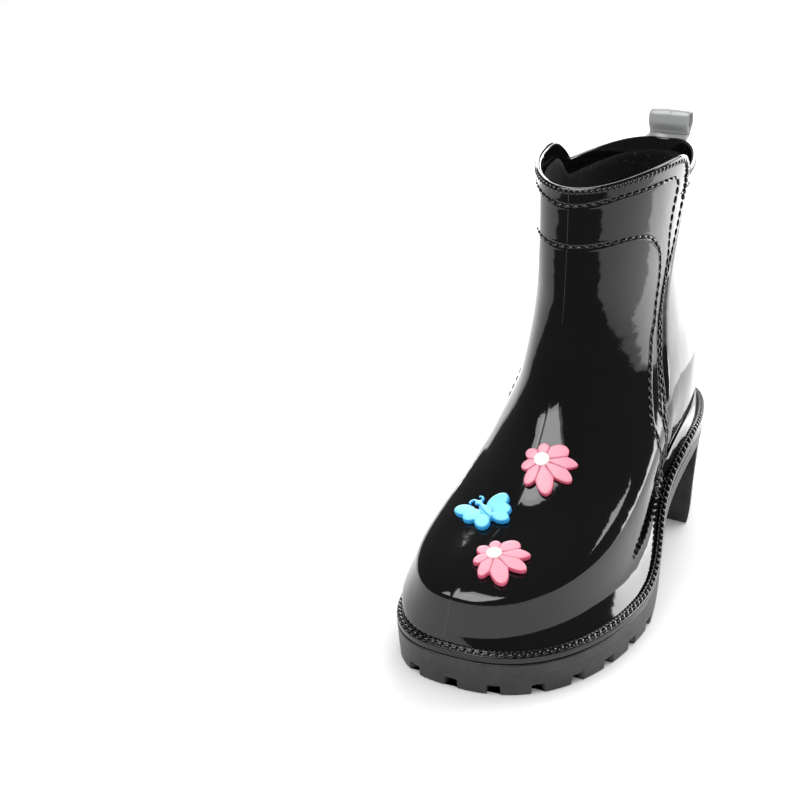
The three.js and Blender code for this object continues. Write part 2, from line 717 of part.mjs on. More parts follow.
flower("flower_upper", 6 * RAD, 0.517, 0);
flower("flower_lower", 7 * RAD, 0.367, 12 * RAD);

{
  const put = layout(-15 * RAD, 0.411, 0);
  // Lobe centres in the charm's own plane: x across to the lateral side, y up the foot.
  const wings = [
    [2.8, 9.2, 6.4, 4.6, 66],
    [7.0, 5.0, 4.6, 4.0, 20],
    [8.4, 0.4, 4.8, 3.4, -8],
    [-11.0, 0.4, 6.3, 3.9, 172],
    [-5.6, -2.4, 4.8, 4.2, -130],
    [1.4, -5.2, 5.0, 3.8, -52],
    [0.2, 1.6, 6.4, 2.6, -37],
  ];
  const solids = wings.map(([x, y, a, b, d]) => lobe(put, x, y, a, b, d * RAD, CHARM_LOW, CHARM_HIGH));
  group.add(fromManifold("butterfly_wings", wasm.Manifold.union(solids), BLUE));
  const low = CHARM_HIGH + 0.32;
  const high = CHARM_HIGH + 1.3;
  const bits = [
    lobe(put, 0.2, 1.8, 6.6, 1.25, -37 * RAD, low, high),
    lobe(put, -5.4, 5.9, 1.6, 1.6, 0, low, high),
    lobe(put, -6.6, 7.6, 2.2, 0.7, 100 * RAD, low, high),
    lobe(put, -7.6, 6.0, 2.0, 0.7, 170 * RAD, low, high),
  ];
  group.add(fromManifold("butterfly_body", wasm.Manifold.union(bits), BLUE));
}

// ---------- put the origin at the bottom centre of the bounding box ----------
const box = new THREE.Box3().setFromObject(group);
const shift = new THREE.Vector3(-(box.min.x + box.max.x) / 2, -(box.min.y + box.max.y) / 2, -box.min.z);
group.children.forEach((m) => m.geometry.translate(shift.x, shift.y, shift.z));

export default group;
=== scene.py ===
"""Rubber rain boot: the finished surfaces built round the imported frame."""

import math

import bmesh
import bpy
import numpy as np
from bpy.props import FloatProperty, FloatVectorProperty, IntProperty, PointerProperty
from mathutils import Matrix, Vector
from mathutils.kdtree import KDTree


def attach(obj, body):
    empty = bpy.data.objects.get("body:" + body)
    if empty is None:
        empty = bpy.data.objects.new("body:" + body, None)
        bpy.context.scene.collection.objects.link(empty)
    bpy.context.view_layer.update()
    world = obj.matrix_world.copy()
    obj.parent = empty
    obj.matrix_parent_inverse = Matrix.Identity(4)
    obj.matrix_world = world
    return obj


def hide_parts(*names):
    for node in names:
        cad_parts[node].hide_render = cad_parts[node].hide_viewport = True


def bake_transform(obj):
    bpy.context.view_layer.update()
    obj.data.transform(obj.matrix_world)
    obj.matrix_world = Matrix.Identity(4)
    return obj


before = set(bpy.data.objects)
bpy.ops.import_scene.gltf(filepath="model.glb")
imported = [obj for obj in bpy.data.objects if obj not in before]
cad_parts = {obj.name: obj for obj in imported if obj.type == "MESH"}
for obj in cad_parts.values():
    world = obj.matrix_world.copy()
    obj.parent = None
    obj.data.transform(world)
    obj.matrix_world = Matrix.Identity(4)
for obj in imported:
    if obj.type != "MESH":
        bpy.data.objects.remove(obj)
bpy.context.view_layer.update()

bl_info = {
    "name": "Rain boot",
    "version": (1, 0, 0),
    "blender": (4, 5, 0),
    "location": "View3D > Sidebar > Rain boot",
    "description": "Builds a glossy moulded rain boot round its frame",
    "category": "Add Mesh",
}

RAD = math.pi / 180
# From the last's own origin, under the heel, to the frame's origin.
SHIFT = np.array([-6.8, 121.25, 0.0])
HEM = 0.962  # height share of the rear panel's hem, and of the rim where the ears end
FLOAT = "NodeSocketFloat"

# ---------- form of the boot, in millimetres; the same rule as the frame's solids ----------
# Height share, then the front and back ends (forward, up), the place of the widest point, the
# half widths outside and inside, corner powers front and back, waist, taper, shift of the toe.
LEVELS = np.array([
    [0.0, 248.5, 38, -6, 57, 0.67, 60, 46, 2.5, 2.9, 0.2, 0.31, -1],
    [0.12, 247.5, 38, -7.5, 69, 0.69, 53, 48, 2.35, 2.9, 0.15, 0.29, -1],
    [0.28, 245.5, 49.5, -8.5, 81, 0.64, 51, 44, 2.3, 2.6, 0.1, 0.22, 1.5],
    [0.45, 183, 69.5, -4, 108.5, 0.57, 44, 42, 2.0, 2.3, 0.05, 0.13, 3],
    [0.62, 143, 107.5, 6.5, 135, 0.54, 35, 35, 2.05, 2.0, 0, 0.04, 0],
    [0.8, 129, 153.5, 12, 165, 0.54, 31, 32, 2.1, 1.9, 0, 0.04, 0],
    [1.0, 126, 207.5, 5, 208, 0.5, 36, 37, 2.05, 1.9, 0, 0.04, 0],
])
SEAT_Z, BALL_Z, TOE_RISE = 64.0, 20.2, 0.3
SEAT_F, BALL_F, LENGTH = 51.0, 165.7, 248.5
RIM_CROWN = 8  # rise of the rim's middle over its ends
SHELL = 2.3  # wall of the upper
WELT_DROP = 4.0  # from the feather line down to the sole
SOLE_AT_HEEL, SOLE_AT_BALL = 9, 17


def smooth(x):
    u = np.clip(x, 0, 1)
    return u * u * (3 - 2 * u)


def bell(x, width, power=2):
    return np.exp(-((x / width) ** power))


def curve(xs, ys):
    """Shape-keeping cubic through the points."""
    xs, ys = np.asarray(xs, float), np.asarray(ys, float)
    h, d = np.diff(xs), np.diff(ys) / np.diff(xs)

    def end(h0, h1, d0, d1):
        m = ((2 * h0 + h1) * d0 - h0 * d1) / (h0 + h1)
        if np.sign(m) != np.sign(d0):
            return 0.0
        if np.sign(d0) != np.sign(d1) and abs(m) > 3 * abs(d0):
            return 3 * d0
        return m

    m = np.zeros(len(xs))
    m[0], m[-1] = end(h[0], h[1], d[0], d[1]), end(h[-1], h[-2], d[-1], d[-2])
    for i in range(1, len(xs) - 1):
        if d[i - 1] * d[i] > 0:
            a, b = 2 * h[i] + h[i - 1], h[i] + 2 * h[i - 1]
            m[i] = (a + b) / (a / d[i - 1] + b / d[i])

    def at(x):
        x = np.asarray(x, float)
        i = np.searchsorted(xs[1:-1], x)
        s = np.clip((x - xs[i]) / h[i], -0.2, 1.2)
        s2, s3 = s * s, s * s * s
        return ((2 * s3 - 3 * s2 + 1) * ys[i] + (s3 - 2 * s2 + s) * h[i] * m[i]
                + (3 * s2 - 2 * s3) * ys[i + 1] + (s3 - s2) * h[i] * m[i + 1])

    return at


LEVEL = [curve(LEVELS[:, 0], LEVELS[:, k]) for k in range(1, 13)]


def foot_z(f):
    """Height of the feather line above the ground."""
    z = SEAT_Z + (BALL_Z - SEAT_Z) * smooth((f - SEAT_F) / (BALL_F - SEAT_F))
    v = np.clip((f - BALL_F) / (LENGTH - BALL_F), 0, 1.2)
    return z + TOE_RISE * v * v


def skin(th, t):
    """Outer skin: th runs round from the toe over the outer side, t climbs from 0 to 1."""
    th, t = np.broadcast_arrays(np.asarray(th, float), np.asarray(t, float))
    ff, zf, fb, zb, at, wl, wm, nf, nb, waist, taper, toe = [c(t) for c in LEVEL]
    c, s = np.cos(th), np.sin(th)
    n = np.where(c >= 0, nf, nb)
    fw = fb + (ff - fb) * at
    reach = np.where(c >= 0, ff - fw, fw - fb)
    f = fw + reach * np.sign(c) * np.abs(c) ** (2 / n)
    rel = (f - fb) / (ff - fb)
    q = smooth((at - rel) / at)
    pinch = waist * np.where(s >= 0, 0.78, 1.3) * bell(rel - 0.42, 0.143)
    k = np.clip((rel - 0.45) / 0.55, 0, 1)
    half = np.where(s >= 0, wl, wm) * np.sign(s) * np.abs(s) ** (2 / n)
    x = half * (1 - taper * q - pinch) + toe * k * k
    straight = LEVELS[0, 4] + (LEVELS[0, 2] - LEVELS[0, 4]) * rel
    z = zb + (zf - zb) * rel + (foot_z(f) - straight) * (1 - np.clip(t, 0, 1)) ** 3
    z = z + RIM_CROWN * np.clip((t - 0.6) / 0.4, 0, 1) ** 2 * (1 - (2 * rel - 1) ** 2)
    return np.stack([x, -f, z], -1)


def unit(v):
    return v / np.maximum(np.linalg.norm(v, axis=-1, keepdims=True), 1e-12)


def normal(th, t):
    t0, t1 = np.clip(np.asarray(t) - 0.012, 0, 1), np.clip(np.asarray(t) + 0.012, 0, 1)
    around = skin(th + 0.02, t) - skin(th - 0.02, t)
    return unit(np.cross(around, skin(th, t1) - skin(th, t0)))


def spread(th, t):
    """Millimetres per radian round the boot, and per unit of t up it."""
    around = np.linalg.norm(skin(th + 0.01, t) - skin(th - 0.01, t), axis=-1) / 0.02
    t0, t1 = np.clip(np.asarray(t) - 0.01, 0, 1), np.clip(np.asarray(t) + 0.01, 0, 1)
    up = np.linalg.norm(skin(th, t1) - skin(th, t0), axis=-1) / np.maximum(t1 - t0, 1e-6)
    return around, up


def shell(th, t, off):
    """The skin moved out by off."""
    off = np.asarray(off, float)
    return skin(th, t) + normal(th, t) * off[..., None]


# The front panel's rear edge, in degrees from the toe, against the height share.
EDGE_LINE = curve(
    [0, 0.1, 0.2, 0.3, 0.36, 0.42, 0.5, 0.6, 0.68, 0.74, 0.78, 0.82, 0.87, 0.92, 1],
    [106.5, 107, 106.5, 105, 101, 95, 89.3, 84.5, 85, 88, 93, 99, 104, 106, 105])
# The two moulded seam lines ahead of the front panel's rear edge.
LINE_B = curve([0, 0.05, 0.1, 0.15, 0.2, 0.25, 0.3, 0.34, 0.38, 0.42, 0.46, 0.5,
                0.639, 0.689, 0.722, 0.75, 0.78, 0.82, 0.872, 0.939, 0.961, 1],
               [104.6, 104.9, 105, 104.7, 104.3, 103.6, 102.4, 99.9, 96.2, 92.1, 88.3, 83.7,
                80, 81, 83.3, 85.3, 88, 90, 88.5, 88, 85.5, 76])
LINE_C = curve([0, 0.05, 0.1, 0.15, 0.2, 0.25, 0.3, 0.34, 0.38, 0.42, 0.46, 0.5,
                0.589, 0.667, 0.694, 0.739, 0.767, 0.8, 0.828, 0.85, 0.872, 0.9, 1],
               [102.9, 103.1, 103.1, 102.7, 102.1, 101.2, 99.8, 97, 93.1, 88.3, 81.4, 76.3,
                73, 74, 76.5, 78.5, 80.5, 81.5, 80.5, 77, 70, 66, 64])
# The rope row stays about two millimetres inside the panel's rear edge.
EDGE_ROPE = curve([0, 0.3, 0.4, 0.5, 0.75, 0.8, 0.9], [0.75, 1.0, 1.6, 2.5, 2.9, 3.3, 4.5])


def edge_angle(t):
    s = np.clip((t - 0.915) / 0.085, 0, 1)
    return EDGE_LINE(t) - 24 * (1 - np.sqrt(1 - s * s))


# Where the rim drops from the front panel to the rear one, in degrees from the toe.
EAR_FROM, EAR_TO = 84, 98


def top_t(th):
    """Height share of the rim."""
    a = np.abs(np.arctan2(np.sin(th), np.cos(th))) / RAD
    low = 1 - (1 - HEM) * smooth((a - EAR_FROM) / (EAR_TO - EAR_FROM))
    high = HEM + (1 - HEM) * smooth((a - EAR_TO) / 70)
    return np.where(a < EAR_TO, low, high)


def foot(th, off):
    """Plan outline at the feather line, off millimetres outside it."""
    th = np.asarray(th, float)
    u = skin(th + 0.01, 0.0) - skin(th - 0.01, 0.0)
    n = unit(np.stack([u[..., 1], -u[..., 0], 0 * u[..., 0]], -1))
    p = skin(th, 0.0)
    out = n[..., 0] * p[..., 0] + n[..., 1] * (p[..., 1] + 120)
    n = np.where((out < 0)[..., None], -n, n)
    q = p + n * np.asarray(off, float)[..., None]
    q[..., 2] = 0
    return q, n


def even_ring(count):
    """Angles that step evenly along the plan outline, and the length walked to each."""
    th = np.linspace(-np.pi, np.pi, 4001)
    p, _ = foot(th, np.full(th.shape, 2.0))
    walk = np.append(0, np.cumsum(np.linalg.norm(np.diff(p, axis=0), axis=1)))
    walk -= np.interp(0.0, th, walk)
    s = np.linspace(walk[0], walk[-1], count, endpoint=False)
    return np.interp(s, walk, th), s


def foot_rings(th, section):
    """Rings round the feather line, one for each (outwards, upwards) pair of a section."""
    rings = []
    for off, up in section:
        p, _ = foot(th, np.full(th.shape, off))
        p[:, 2] = foot_z(-p[:, 1]) + up
        rings.append(p)
    return np.array(rings)


# ---------- meshes ----------
def to_frame(p):
    return (np.asarray(p, float).reshape(-1, 3) + SHIFT) / 1000


def link_object(name, data):
    ob = bpy.data.objects.new(name, data)
    bpy.context.scene.collection.objects.link(ob)
    return ob


def settle(ob, slot, *cad, body="boot"):
    """Ties a piece to its body and hides the frame solids that it stands for; the slot is not used.
    """
    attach(ob, body)
    if cad:
        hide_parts(*cad)


def applied(ob):
    """A plain mesh of the object with its modifiers applied."""
    bpy.context.view_layer.update()
    graph = bpy.context.evaluated_depsgraph_get()
    return bpy.data.meshes.new_from_object(ob.evaluated_get(graph))


def add_mesh(name, points, quads, tris, look, uv=None):
    """One closed mesh, its faces turned outwards, shaded smooth."""
    v = to_frame(points)
    quads = np.asarray(quads, int).reshape(-1, 4)
    tris = np.asarray(tris, int).reshape(-1, 3)
    a, b, c = np.concatenate([quads[:, [0, 1, 2]], quads[:, [0, 2, 3]], tris]).T
    if np.einsum("ij,ij->i", v[a], np.cross(v[b], v[c])).sum() < 0:
        quads, tris = quads[:, ::-1], tris[:, ::-1]
    me = bpy.data.meshes.new(name)
    me.vertices.add(len(v))
    me.vertices.foreach_set("co", v.astype(np.float32).ravel())
    loops = np.concatenate([quads.ravel(), tris.ravel()]).astype(np.int32)
    starts = np.append(np.arange(len(quads)) * 4, len(quads) * 4 + np.arange(len(tris)) * 3)
    me.loops.add(len(loops))
    me.loops.foreach_set("vertex_index", loops)
    me.polygons.add(len(starts))
    me.polygons.foreach_set("loop_start", starts.astype(np.int32))
    me.update(calc_edges=True)
    if uv is not None:
        layer = me.uv_layers.new(name="UVMap")
        uv = np.asarray(uv, np.float32).reshape(-1, 2)
        layer.data.foreach_set("uv", uv[loops].ravel())
    me.polygons.foreach_set("use_smooth", np.ones(len(starts), bool))
    me.validate()
    me.materials.append(look)
    return link_object(name, me)


def point_grid(rings):
    """Point numbers of a grid of points, row by row."""
    rows, cols = rings.shape[:2]
    return np.arange(rows * cols).reshape(rows, cols)


def grid_quads(k):
    corners = [k[:-1, :-1], k[:-1, 1:], k[1:, 1:], k[1:, :-1]]
    return np.stack(corners, -1).reshape(-1, 4)


def band_quads(k):
    """Quads of rings one over the other, each ring closed on itself."""
    return grid_quads(np.pad(k, ((0, 0), (0, 1)), mode="wrap"))


def sheet_solid(outer, inner):
    """Points and quads of a closed sheet between two grids of the same size."""
    k = point_grid(outer)
    m = k + k.size
    rims = [np.concatenate([g[0, :-1], g[:-1, -1], g[-1, :0:-1], g[:0:-1, 0]]) for g in (k, m)]
    side = np.stack([*rims, *(np.roll(r, -1) for r in rims[::-1])], -1)
    points = np.concatenate([outer.reshape(-1, 3), inner.reshape(-1, 3)])
    return points, np.concatenate([grid_quads(k), grid_quads(m)[:, ::-1], side])


def ring_solid(rings):
    """Points and quads of a closed tube: rings[row][column], both ways round."""
    return rings.reshape(-1, 3), grid_quads(np.pad(point_grid(rings), (0, 1), mode="wrap"))


def fan_solid(rings, ends):
    """Rings one over the other, each end closed by a fan round its own middle point."""
    k = point_grid(rings)
    nxt = np.roll(k, -1, 1)
    middle = np.full(k.shape[1], k.size)
    tris = [np.stack([middle, nxt[0], k[0]], -1), np.stack([middle + 1, k[-1], nxt[-1]], -1)]
    return np.concatenate([rings.reshape(-1, 3), ends]), band_quads(k), np.concatenate(tris)


def capped_solid(rings, low, high, across):
    """Rings closed by a bottom and a top whose heights follow low(x, y) and high(x, y)."""
    k = point_grid(rings)
    rows, n = k.shape
    quads, tris, points = [band_quads(k)], [], [rings.reshape(-1, 3)]
    base, half = k.size, n // 2
    a = np.arange(1, half)
    w = np.linspace(0, 1, across + 1)[None, 1:-1, None]
    for row, height, flip in ((0, low, True), (rows - 1, high, False)):
        p = rings[row, a][:, None] * (1 - w) + rings[row, n - a][:, None] * w
        p[..., 2] = height(p[..., 0], -p[..., 1])
        idx = base + point_grid(p)
        base += idx.size
        points.append(p.reshape(-1, 3))
        grid = np.concatenate([k[row, a][:, None], idx, k[row, n - a][:, None]], 1)
        q = grid_quads(grid)
        quads.append(q if flip else q[:, ::-1])
        for end, line, turn in ((k[row, 0], grid[0], flip), (k[row, half], grid[-1], not flip)):
            fan = np.stack([np.full(len(line) - 1, end), line[:-1], line[1:]], -1)
            tris.append(fan[:, ::-1] if turn else fan)
    return np.concatenate(points), np.concatenate(quads), np.concatenate(tris)


def turned(ob):
    """The object with its faces turned outwards."""
    bm = bmesh.new()
    bm.from_mesh(ob.data)
    bmesh.ops.recalc_face_normals(bm, faces=bm.faces)
    bm.to_mesh(ob.data)
    bm.free()
    return ob


# ---------- shader groups ----------
def node(tree, kind, **values):
    """A node; in_NAME sets the plain value of its input NAME, any other key its own setting."""
    n = tree.nodes.new(kind)
    for key, value in values.items():
        if key.startswith("in_"):
            key = key[3:].replace("_", " ")
            n.inputs[int(key) if key.isdigit() else key].default_value = value
        else:
            setattr(n, key, value)
    return n


def textured(tree, vector, kind, output=0, **values):
    """The output of a texture or mapping node that reads the vector."""
    n = node(tree, kind, **values)
    tree.links.new(vector, n.inputs["Vector"])
    return n.outputs[output]


def noise(tree, vector, scale, detail, roughness):
    return textured(tree, vector, "ShaderNodeTexNoise",
                    in_Scale=scale, in_Detail=detail, in_Roughness=roughness)


def maths(tree, operation, *terms):
    """A Math node whose terms are sockets or plain numbers."""
    n = node(tree, "ShaderNodeMath", operation=operation)
    for entry, term in zip(n.inputs, terms):
        if isinstance(term, float):
            entry.default_value = term
        else:
            tree.links.new(term, entry)
    return n.outputs[0]


def ranged(t, value, low, high, lo=0.0, hi=1.0):
    r = node(t, "ShaderNodeMapRange", in_1=lo, in_2=hi, in_3=low, in_4=high)
    t.links.new(value, r.inputs[0])
    return r.outputs[0]


def shared_group(name, outputs):
    """A group that reads Vector times Scale; returns the tree, that vector and a way to end it."""
    g = bpy.data.node_groups.new(name, "ShaderNodeTree")
    g.interface.new_socket("Vector", in_out="INPUT", socket_type="NodeSocketVector")
    g.interface.new_socket("Scale", in_out="INPUT", socket_type=FLOAT).default_value = 1.0
    for output in outputs:
        g.interface.new_socket(output, in_out="OUTPUT", socket_type=FLOAT)
    a, b = g.nodes.new("NodeGroupInput"), g.nodes.new("NodeGroupOutput")
    scaled = node(g, "ShaderNodeVectorMath", operation="SCALE")
    g.links.new(a.outputs["Vector"], scaled.inputs[0])
    g.links.new(a.outputs["Scale"], scaled.inputs["Scale"])

    def end(*sockets):
        for entry, socket in zip(b.inputs, sockets):
            g.links.new(socket, entry)

    return g, scaled.outputs[0], end


def shader_groups():
    """Effects that several materials share."""
    g, at, end = shared_group("mould_surface", ("Height", "Haze", "Scratch"))
    fine, slow = noise(g, at, 160.0, 3.0, 0.5), noise(g, at, 38.0, 2.0, 0.4)
    stretched = textured(g, at, "ShaderNodeMapping",
                         in_Rotation=(0.4, 0.2, 0.9), in_Scale=(1.0, 14.0, 2.0))
    lines = noise(g, stretched, 60.0, 4.0, 0.7)
    end(maths(g, "MULTIPLY_ADD", fine, 0.12, slow), noise(g, at, 26.0, 5.0, 0.65),
        ranged(g, lines, 0, 1, 0.66, 0.74))

    g, at, end = shared_group("grain", ("Height", "Tone", "Dust"))
    pore = textured(g, at, "ShaderNodeTexVoronoi", "Distance", in_Scale=1500.0)
    dust = noise(g, at, 420.0, 3.0, 0.6)
    end(pore, noise(g, at, 90.0, 6.0, 0.7), ranged(g, dust, 0, 1, 0.62, 0.78))

    g, at, end = shared_group("knit", ("Height", "Tone", "Lint"))
    rib, row = [textured(g, at, "ShaderNodeTexWave", "Fac", wave_type="BANDS",
                         bands_direction=way, in_Scale=scale, in_Distortion=0.6)
                for way, scale in (("X", 0.32), ("Y", 0.42))]
    fuzz = noise(g, at, 2.2, 6.0, 0.75)
    lint = textured(g, at, "ShaderNodeTexVoronoi", "Distance", in_Scale=0.34)
    loops = maths(g, "MULTIPLY", rib, row)
    end(maths(g, "ADD", loops, fuzz), fuzz, ranged(g, lint, 0, 1, 0.16, 0.1))


def material(name, group, source="Object", scale=1.0):
    """A material with its Principled shader, a texture source and one shared group in it."""
    m = bpy.data.materials.new(name + "_finish")
    m.use_nodes = True
    t = m.node_tree
    coord = node(t, "ShaderNodeTexCoord")
    g = node(t, "ShaderNodeGroup", node_tree=bpy.data.node_groups[group], in_Scale=scale)
    t.links.new(coord.outputs[source], g.inputs["Vector"])
    return t, t.nodes["Principled BSDF"].inputs, g.outputs


def wire(t, shader, colour, rough, height, strength, distance):
    """Feeds a material's colour, roughness and bumped normal."""
    b = node(t, "ShaderNodeBump", in_Strength=strength, in_Distance=distance)
    t.links.new(height, b.inputs["Height"])
    t.links.new(b.outputs[0], shader["Normal"])
    t.links.new(colour, shader["Base Color"])
    if rough:
        t.links.new(rough, shader["Roughness"])


def blend_colour(t, factor, a, b):
    m = node(t, "ShaderNodeMix", data_type="RGBA", in_7=(*b, 1))
    if isinstance(a, bpy.types.NodeSocket):
        t.links.new(a, m.inputs[6])
    else:
        m.inputs[6].default_value = (*a, 1)
    t.links.new(factor, m.inputs[0])
    return m.outputs[2]


def finish(slot):
    """The finished material of one of the part's slots."""
    return bpy.data.materials[slot + "_finish"]


def make_materials():
    col = bpy.context.scene.rain_boot_colours
    for name, colour, rough, ripple, scale in (("gloss_pvc", col.upper, 0.035, 0.5, 1.0),
                                               ("tab_pvc", col.tab, 0.1, 0.35, 2.0)):
        t, shader, g = material(name, "mould_surface", scale=scale)
        shader["IOR"].default_value = 1.53
        light = tuple(0.003 + 1.2 * c for c in colour)
        smear = ranged(t, g["Haze"], rough, rough + 0.06)
        wire(t, shader, blend_colour(t, ranged(t, g["Haze"], 0, 0.5), colour, light),
             maths(t, "MULTIPLY_ADD", g["Scratch"], 0.12, smear), g["Height"], ripple, 0.0009)
    for name, colour, rough in (("sole_rubber", col.sole, 0.42),
                                ("foam", (0.07, 0.07, 0.075), 0.85),
                                ("board", (0.34, 0.26, 0.16), 0.85),
                                ("core_plastic", (0.12, 0.11, 0.1), 0.7)):
        t, shader, g = material(name, "grain")
        dusty = tuple(0.02 + 2.2 * c for c in colour)
        tone = ranged(t, g["Tone"], 0, 0.7, 0.3, 0.8)
        wire(t, shader, blend_colour(t, tone, colour, dusty),
             ranged(t, g["Dust"], rough, rough + 0.2), g["Height"], 0.25, 0.00012)

    t, shader, g = material("shank_steel", "mould_surface", scale=3.0)
    shader["Metallic"].default_value = 1.0
    steel = blend_colour(t, g["Haze"], (0.42, 0.43, 0.44), (0.6, 0.6, 0.61))
    wire(t, shader, steel, ranged(t, g["Haze"], 0.25, 0.5), g["Scratch"], 0.2, 0.00005)

    t, shader, g = material("lining_textile", "knit", source="UV")
    tone = ranged(t, g["Tone"], 0, 1, 0.3, 0.75)
    yarn = blend_colour(t, tone, col.lining, tuple(1.5 * c for c in col.lining))
    linty = blend_colour(t, ranged(t, g["Lint"], 0, 0.6), yarn, (0.09, 0.09, 0.085))
    for key, value in (("Roughness", 0.95), ("Specular IOR Level", 0.12), ("Sheen Weight", 0.04)):
        shader[key].default_value = value
    wire(t, shader, linty, None, g["Height"], 0.6, 0.0005)

    for name, face, wall in (("charm_pink", col.petal, col.petal_edge),
                             ("charm_blue", col.wing, col.wing_edge),
                             ("charm_white", (0.93, 0.9, 0.84), (0.9, 0.72, 0.7))):
        t, shader, g = material(name, "grain", scale=1.4)
        rim = node(t, "ShaderNodeAttribute", attribute_name="rim")
        shader["Subsurface Weight"].default_value = 0.15
        shader["Subsurface Scale"].default_value = 0.001
        wire(t, shader, blend_colour(t, rim.outputs["Fac"], face, wall),
             ranged(t, g["Tone"], 0.3, 0.5), g["Height"], 0.12, 0.0001)


# ---------- repeated dashes and beads by geometry nodes ----------
def dash_tree():
    """Rounded dashes laid evenly along lines, whose points carry the way outwards as "up"."""
    g = bpy.data.node_groups.new("dash_row", "GeometryNodeTree")
    f = g.interface
    f.new_socket("Geometry", in_out="INPUT", socket_type="NodeSocketGeometry")
    for name, value in (("Pitch", 0.003), ("Length", 0.0024), ("Width", 0.0011),
                        ("Height", 0.0008), ("Slant", 0.0)):
        f.new_socket(name, in_out="INPUT", socket_type=FLOAT).default_value = value
    f.new_socket("Material", in_out="INPUT", socket_type="NodeSocketMaterial")
    f.new_socket("Geometry", in_out="OUTPUT", socket_type="NodeSocketGeometry")
    a, z = g.nodes.new("NodeGroupInput"), g.nodes.new("NodeGroupOutput")
    line = node(g, "GeometryNodeMeshToCurve")
    even = node(g, "GeometryNodeResampleCurve", mode="LENGTH")
    up = node(g, "GeometryNodeInputNamedAttribute", data_type="FLOAT_VECTOR", in_Name="up")
    along = node(g, "GeometryNodeInputTangent")
    stand = node(g, "FunctionNodeAlignRotationToVector", axis="Z")
    turn = node(g, "FunctionNodeAlignRotationToVector", axis="X", pivot_axis="Z")
    tilt = node(g, "FunctionNodeAxisAngleToRotation", in_Axis=(0, 0, 1))
    spin = node(g, "FunctionNodeRotateRotation", rotation_space="LOCAL")
    ball = node(g, "GeometryNodeMeshUVSphere", in_Segments=10, in_Rings=6, in_Radius=0.5)
    size = node(g, "ShaderNodeCombineXYZ")
    place = node(g, "GeometryNodeInstanceOnPoints")
    real = node(g, "GeometryNodeRealizeInstances")
    soft = node(g, "GeometryNodeSetShadeSmooth")
    paint = node(g, "GeometryNodeSetMaterial")
    for source, output, target, entry in (
            (a, "Geometry", line, 0), (line, 0, even, 0), (a, "Pitch", even, "Length"),
            (even, 0, place, "Points"), (ball, 0, place, "Instance"),
            (up, "Attribute", stand, "Vector"), (stand, 0, turn, "Rotation"),
            (along, 0, turn, "Vector"), (a, "Slant", tilt, "Angle"),
            (turn, 0, spin, 0), (tilt, 0, spin, 1), (spin, 0, place, "Rotation"),
            (a, "Length", size, 0), (a, "Width", size, 1), (a, "Height", size, 2),
            (size, 0, place, "Scale"), (place, 0, real, 0), (real, 0, soft, 0),
            (soft, 0, paint, "Geometry"), (a, "Material", paint, "Material"), (paint, 0, z, 0)):
        g.links.new(source.outputs[output], target.inputs[entry])
    return g


def dash_rows(name, lines, look, **sizes):
    """Dashes along lines of (points, ways outwards, closed), points in millimetres."""
    pts, ups, edges, base = [], [], [], 0
    for p, n, closed in lines:
        pts.append(to_frame(p))
        ups.append(n)
        k = np.arange(len(p)) + base
        e = np.stack([k[:-1], k[1:]], -1)
        edges.append(np.concatenate([e, [[k[-1], k[0]]]]) if closed else e)
        base += len(p)
    me = bpy.data.meshes.new(name + "_lines")
    me.from_pydata(np.concatenate(pts).tolist(), np.concatenate(edges).tolist(), [])
    attr = me.attributes.new("up", "FLOAT_VECTOR", "POINT")
    attr.data.foreach_set("vector", np.concatenate(ups).astype(np.float32).ravel())
    ob = link_object(name, me)
    tree = bpy.data.node_groups.get("dash_row") or dash_tree()
    mod = ob.modifiers.new("dashes", "NODES")
    mod.node_group = tree
    ids = {s.name: s.identifier for s in tree.interface.items_tree if s.in_out == "INPUT"}
    for key, value in sizes.items():
        mod[ids[key.capitalize()]] = value
    mod[ids["Material"]] = look
    done = applied(ob)
    ob.modifiers.clear()
    ob.data = done
    bpy.data.meshes.remove(me)
    done.name = name
    if not len(done.polygons):
        raise RuntimeError(name + " came out empty")
    return ob


def skin_line(degrees, t, off=0.0):
    th, t = np.asarray(degrees, float) * RAD, np.asarray(t, float)
    return shell(th, t, np.full(th.shape, off)), normal(th, t), False


# Sizes of the dashes and beads, in metres, and the slant of the beads, in radians.
DASH = dict(length=0.0042, height=0.0014, slant=0.0)
RIM_BEAD = dict(pitch=0.0029, length=0.0036, width=0.0021, height=0.0019, slant=0.5)
EDGE_BEAD = dict(length=0.0045, width=0.0021, height=0.0022, slant=0.5)
EDGE_DOT = dict(pitch=0.0026, length=0.0018, width=0.0008, height=0.0009, slant=0.0)
TAB_DASH = dict(pitch=0.0022, length=0.0014, width=0.0006, slant=0.0)


# ---------- properties ----------
def length_prop(name, description, default):
    return FloatProperty(name=name, description=description, default=default, unit="LENGTH")


def colour_prop(name, description, default):
    return FloatVectorProperty(name=name, description=description, default=default,
                               subtype="COLOR", min=0, max=1)


class RainBootSizes(bpy.types.PropertyGroup):
    stitch_pitch: length_prop("Stitch pitch", "Step of the moulded dashes", 0.0045)
    stitch_width: length_prop("Stitch width", "Width of a moulded dash", 0.0015)
    groove_depth: length_prop("Groove depth", "Depth of the channel under the dashes", 0.0003)
    rope_pitch: length_prop("Rope pitch", "Step of the beads on the sole edge", 0.0039)
    notch_width: length_prop("Notch width", "Width of a notch in the sole edge", 0.006)
    notch_height: length_prop("Notch height", "Height of a notch in the sole edge", 0.0046)
    ring_steps: IntProperty(name="Ring steps", description="Columns round the sole",
                            default=1024, min=128)


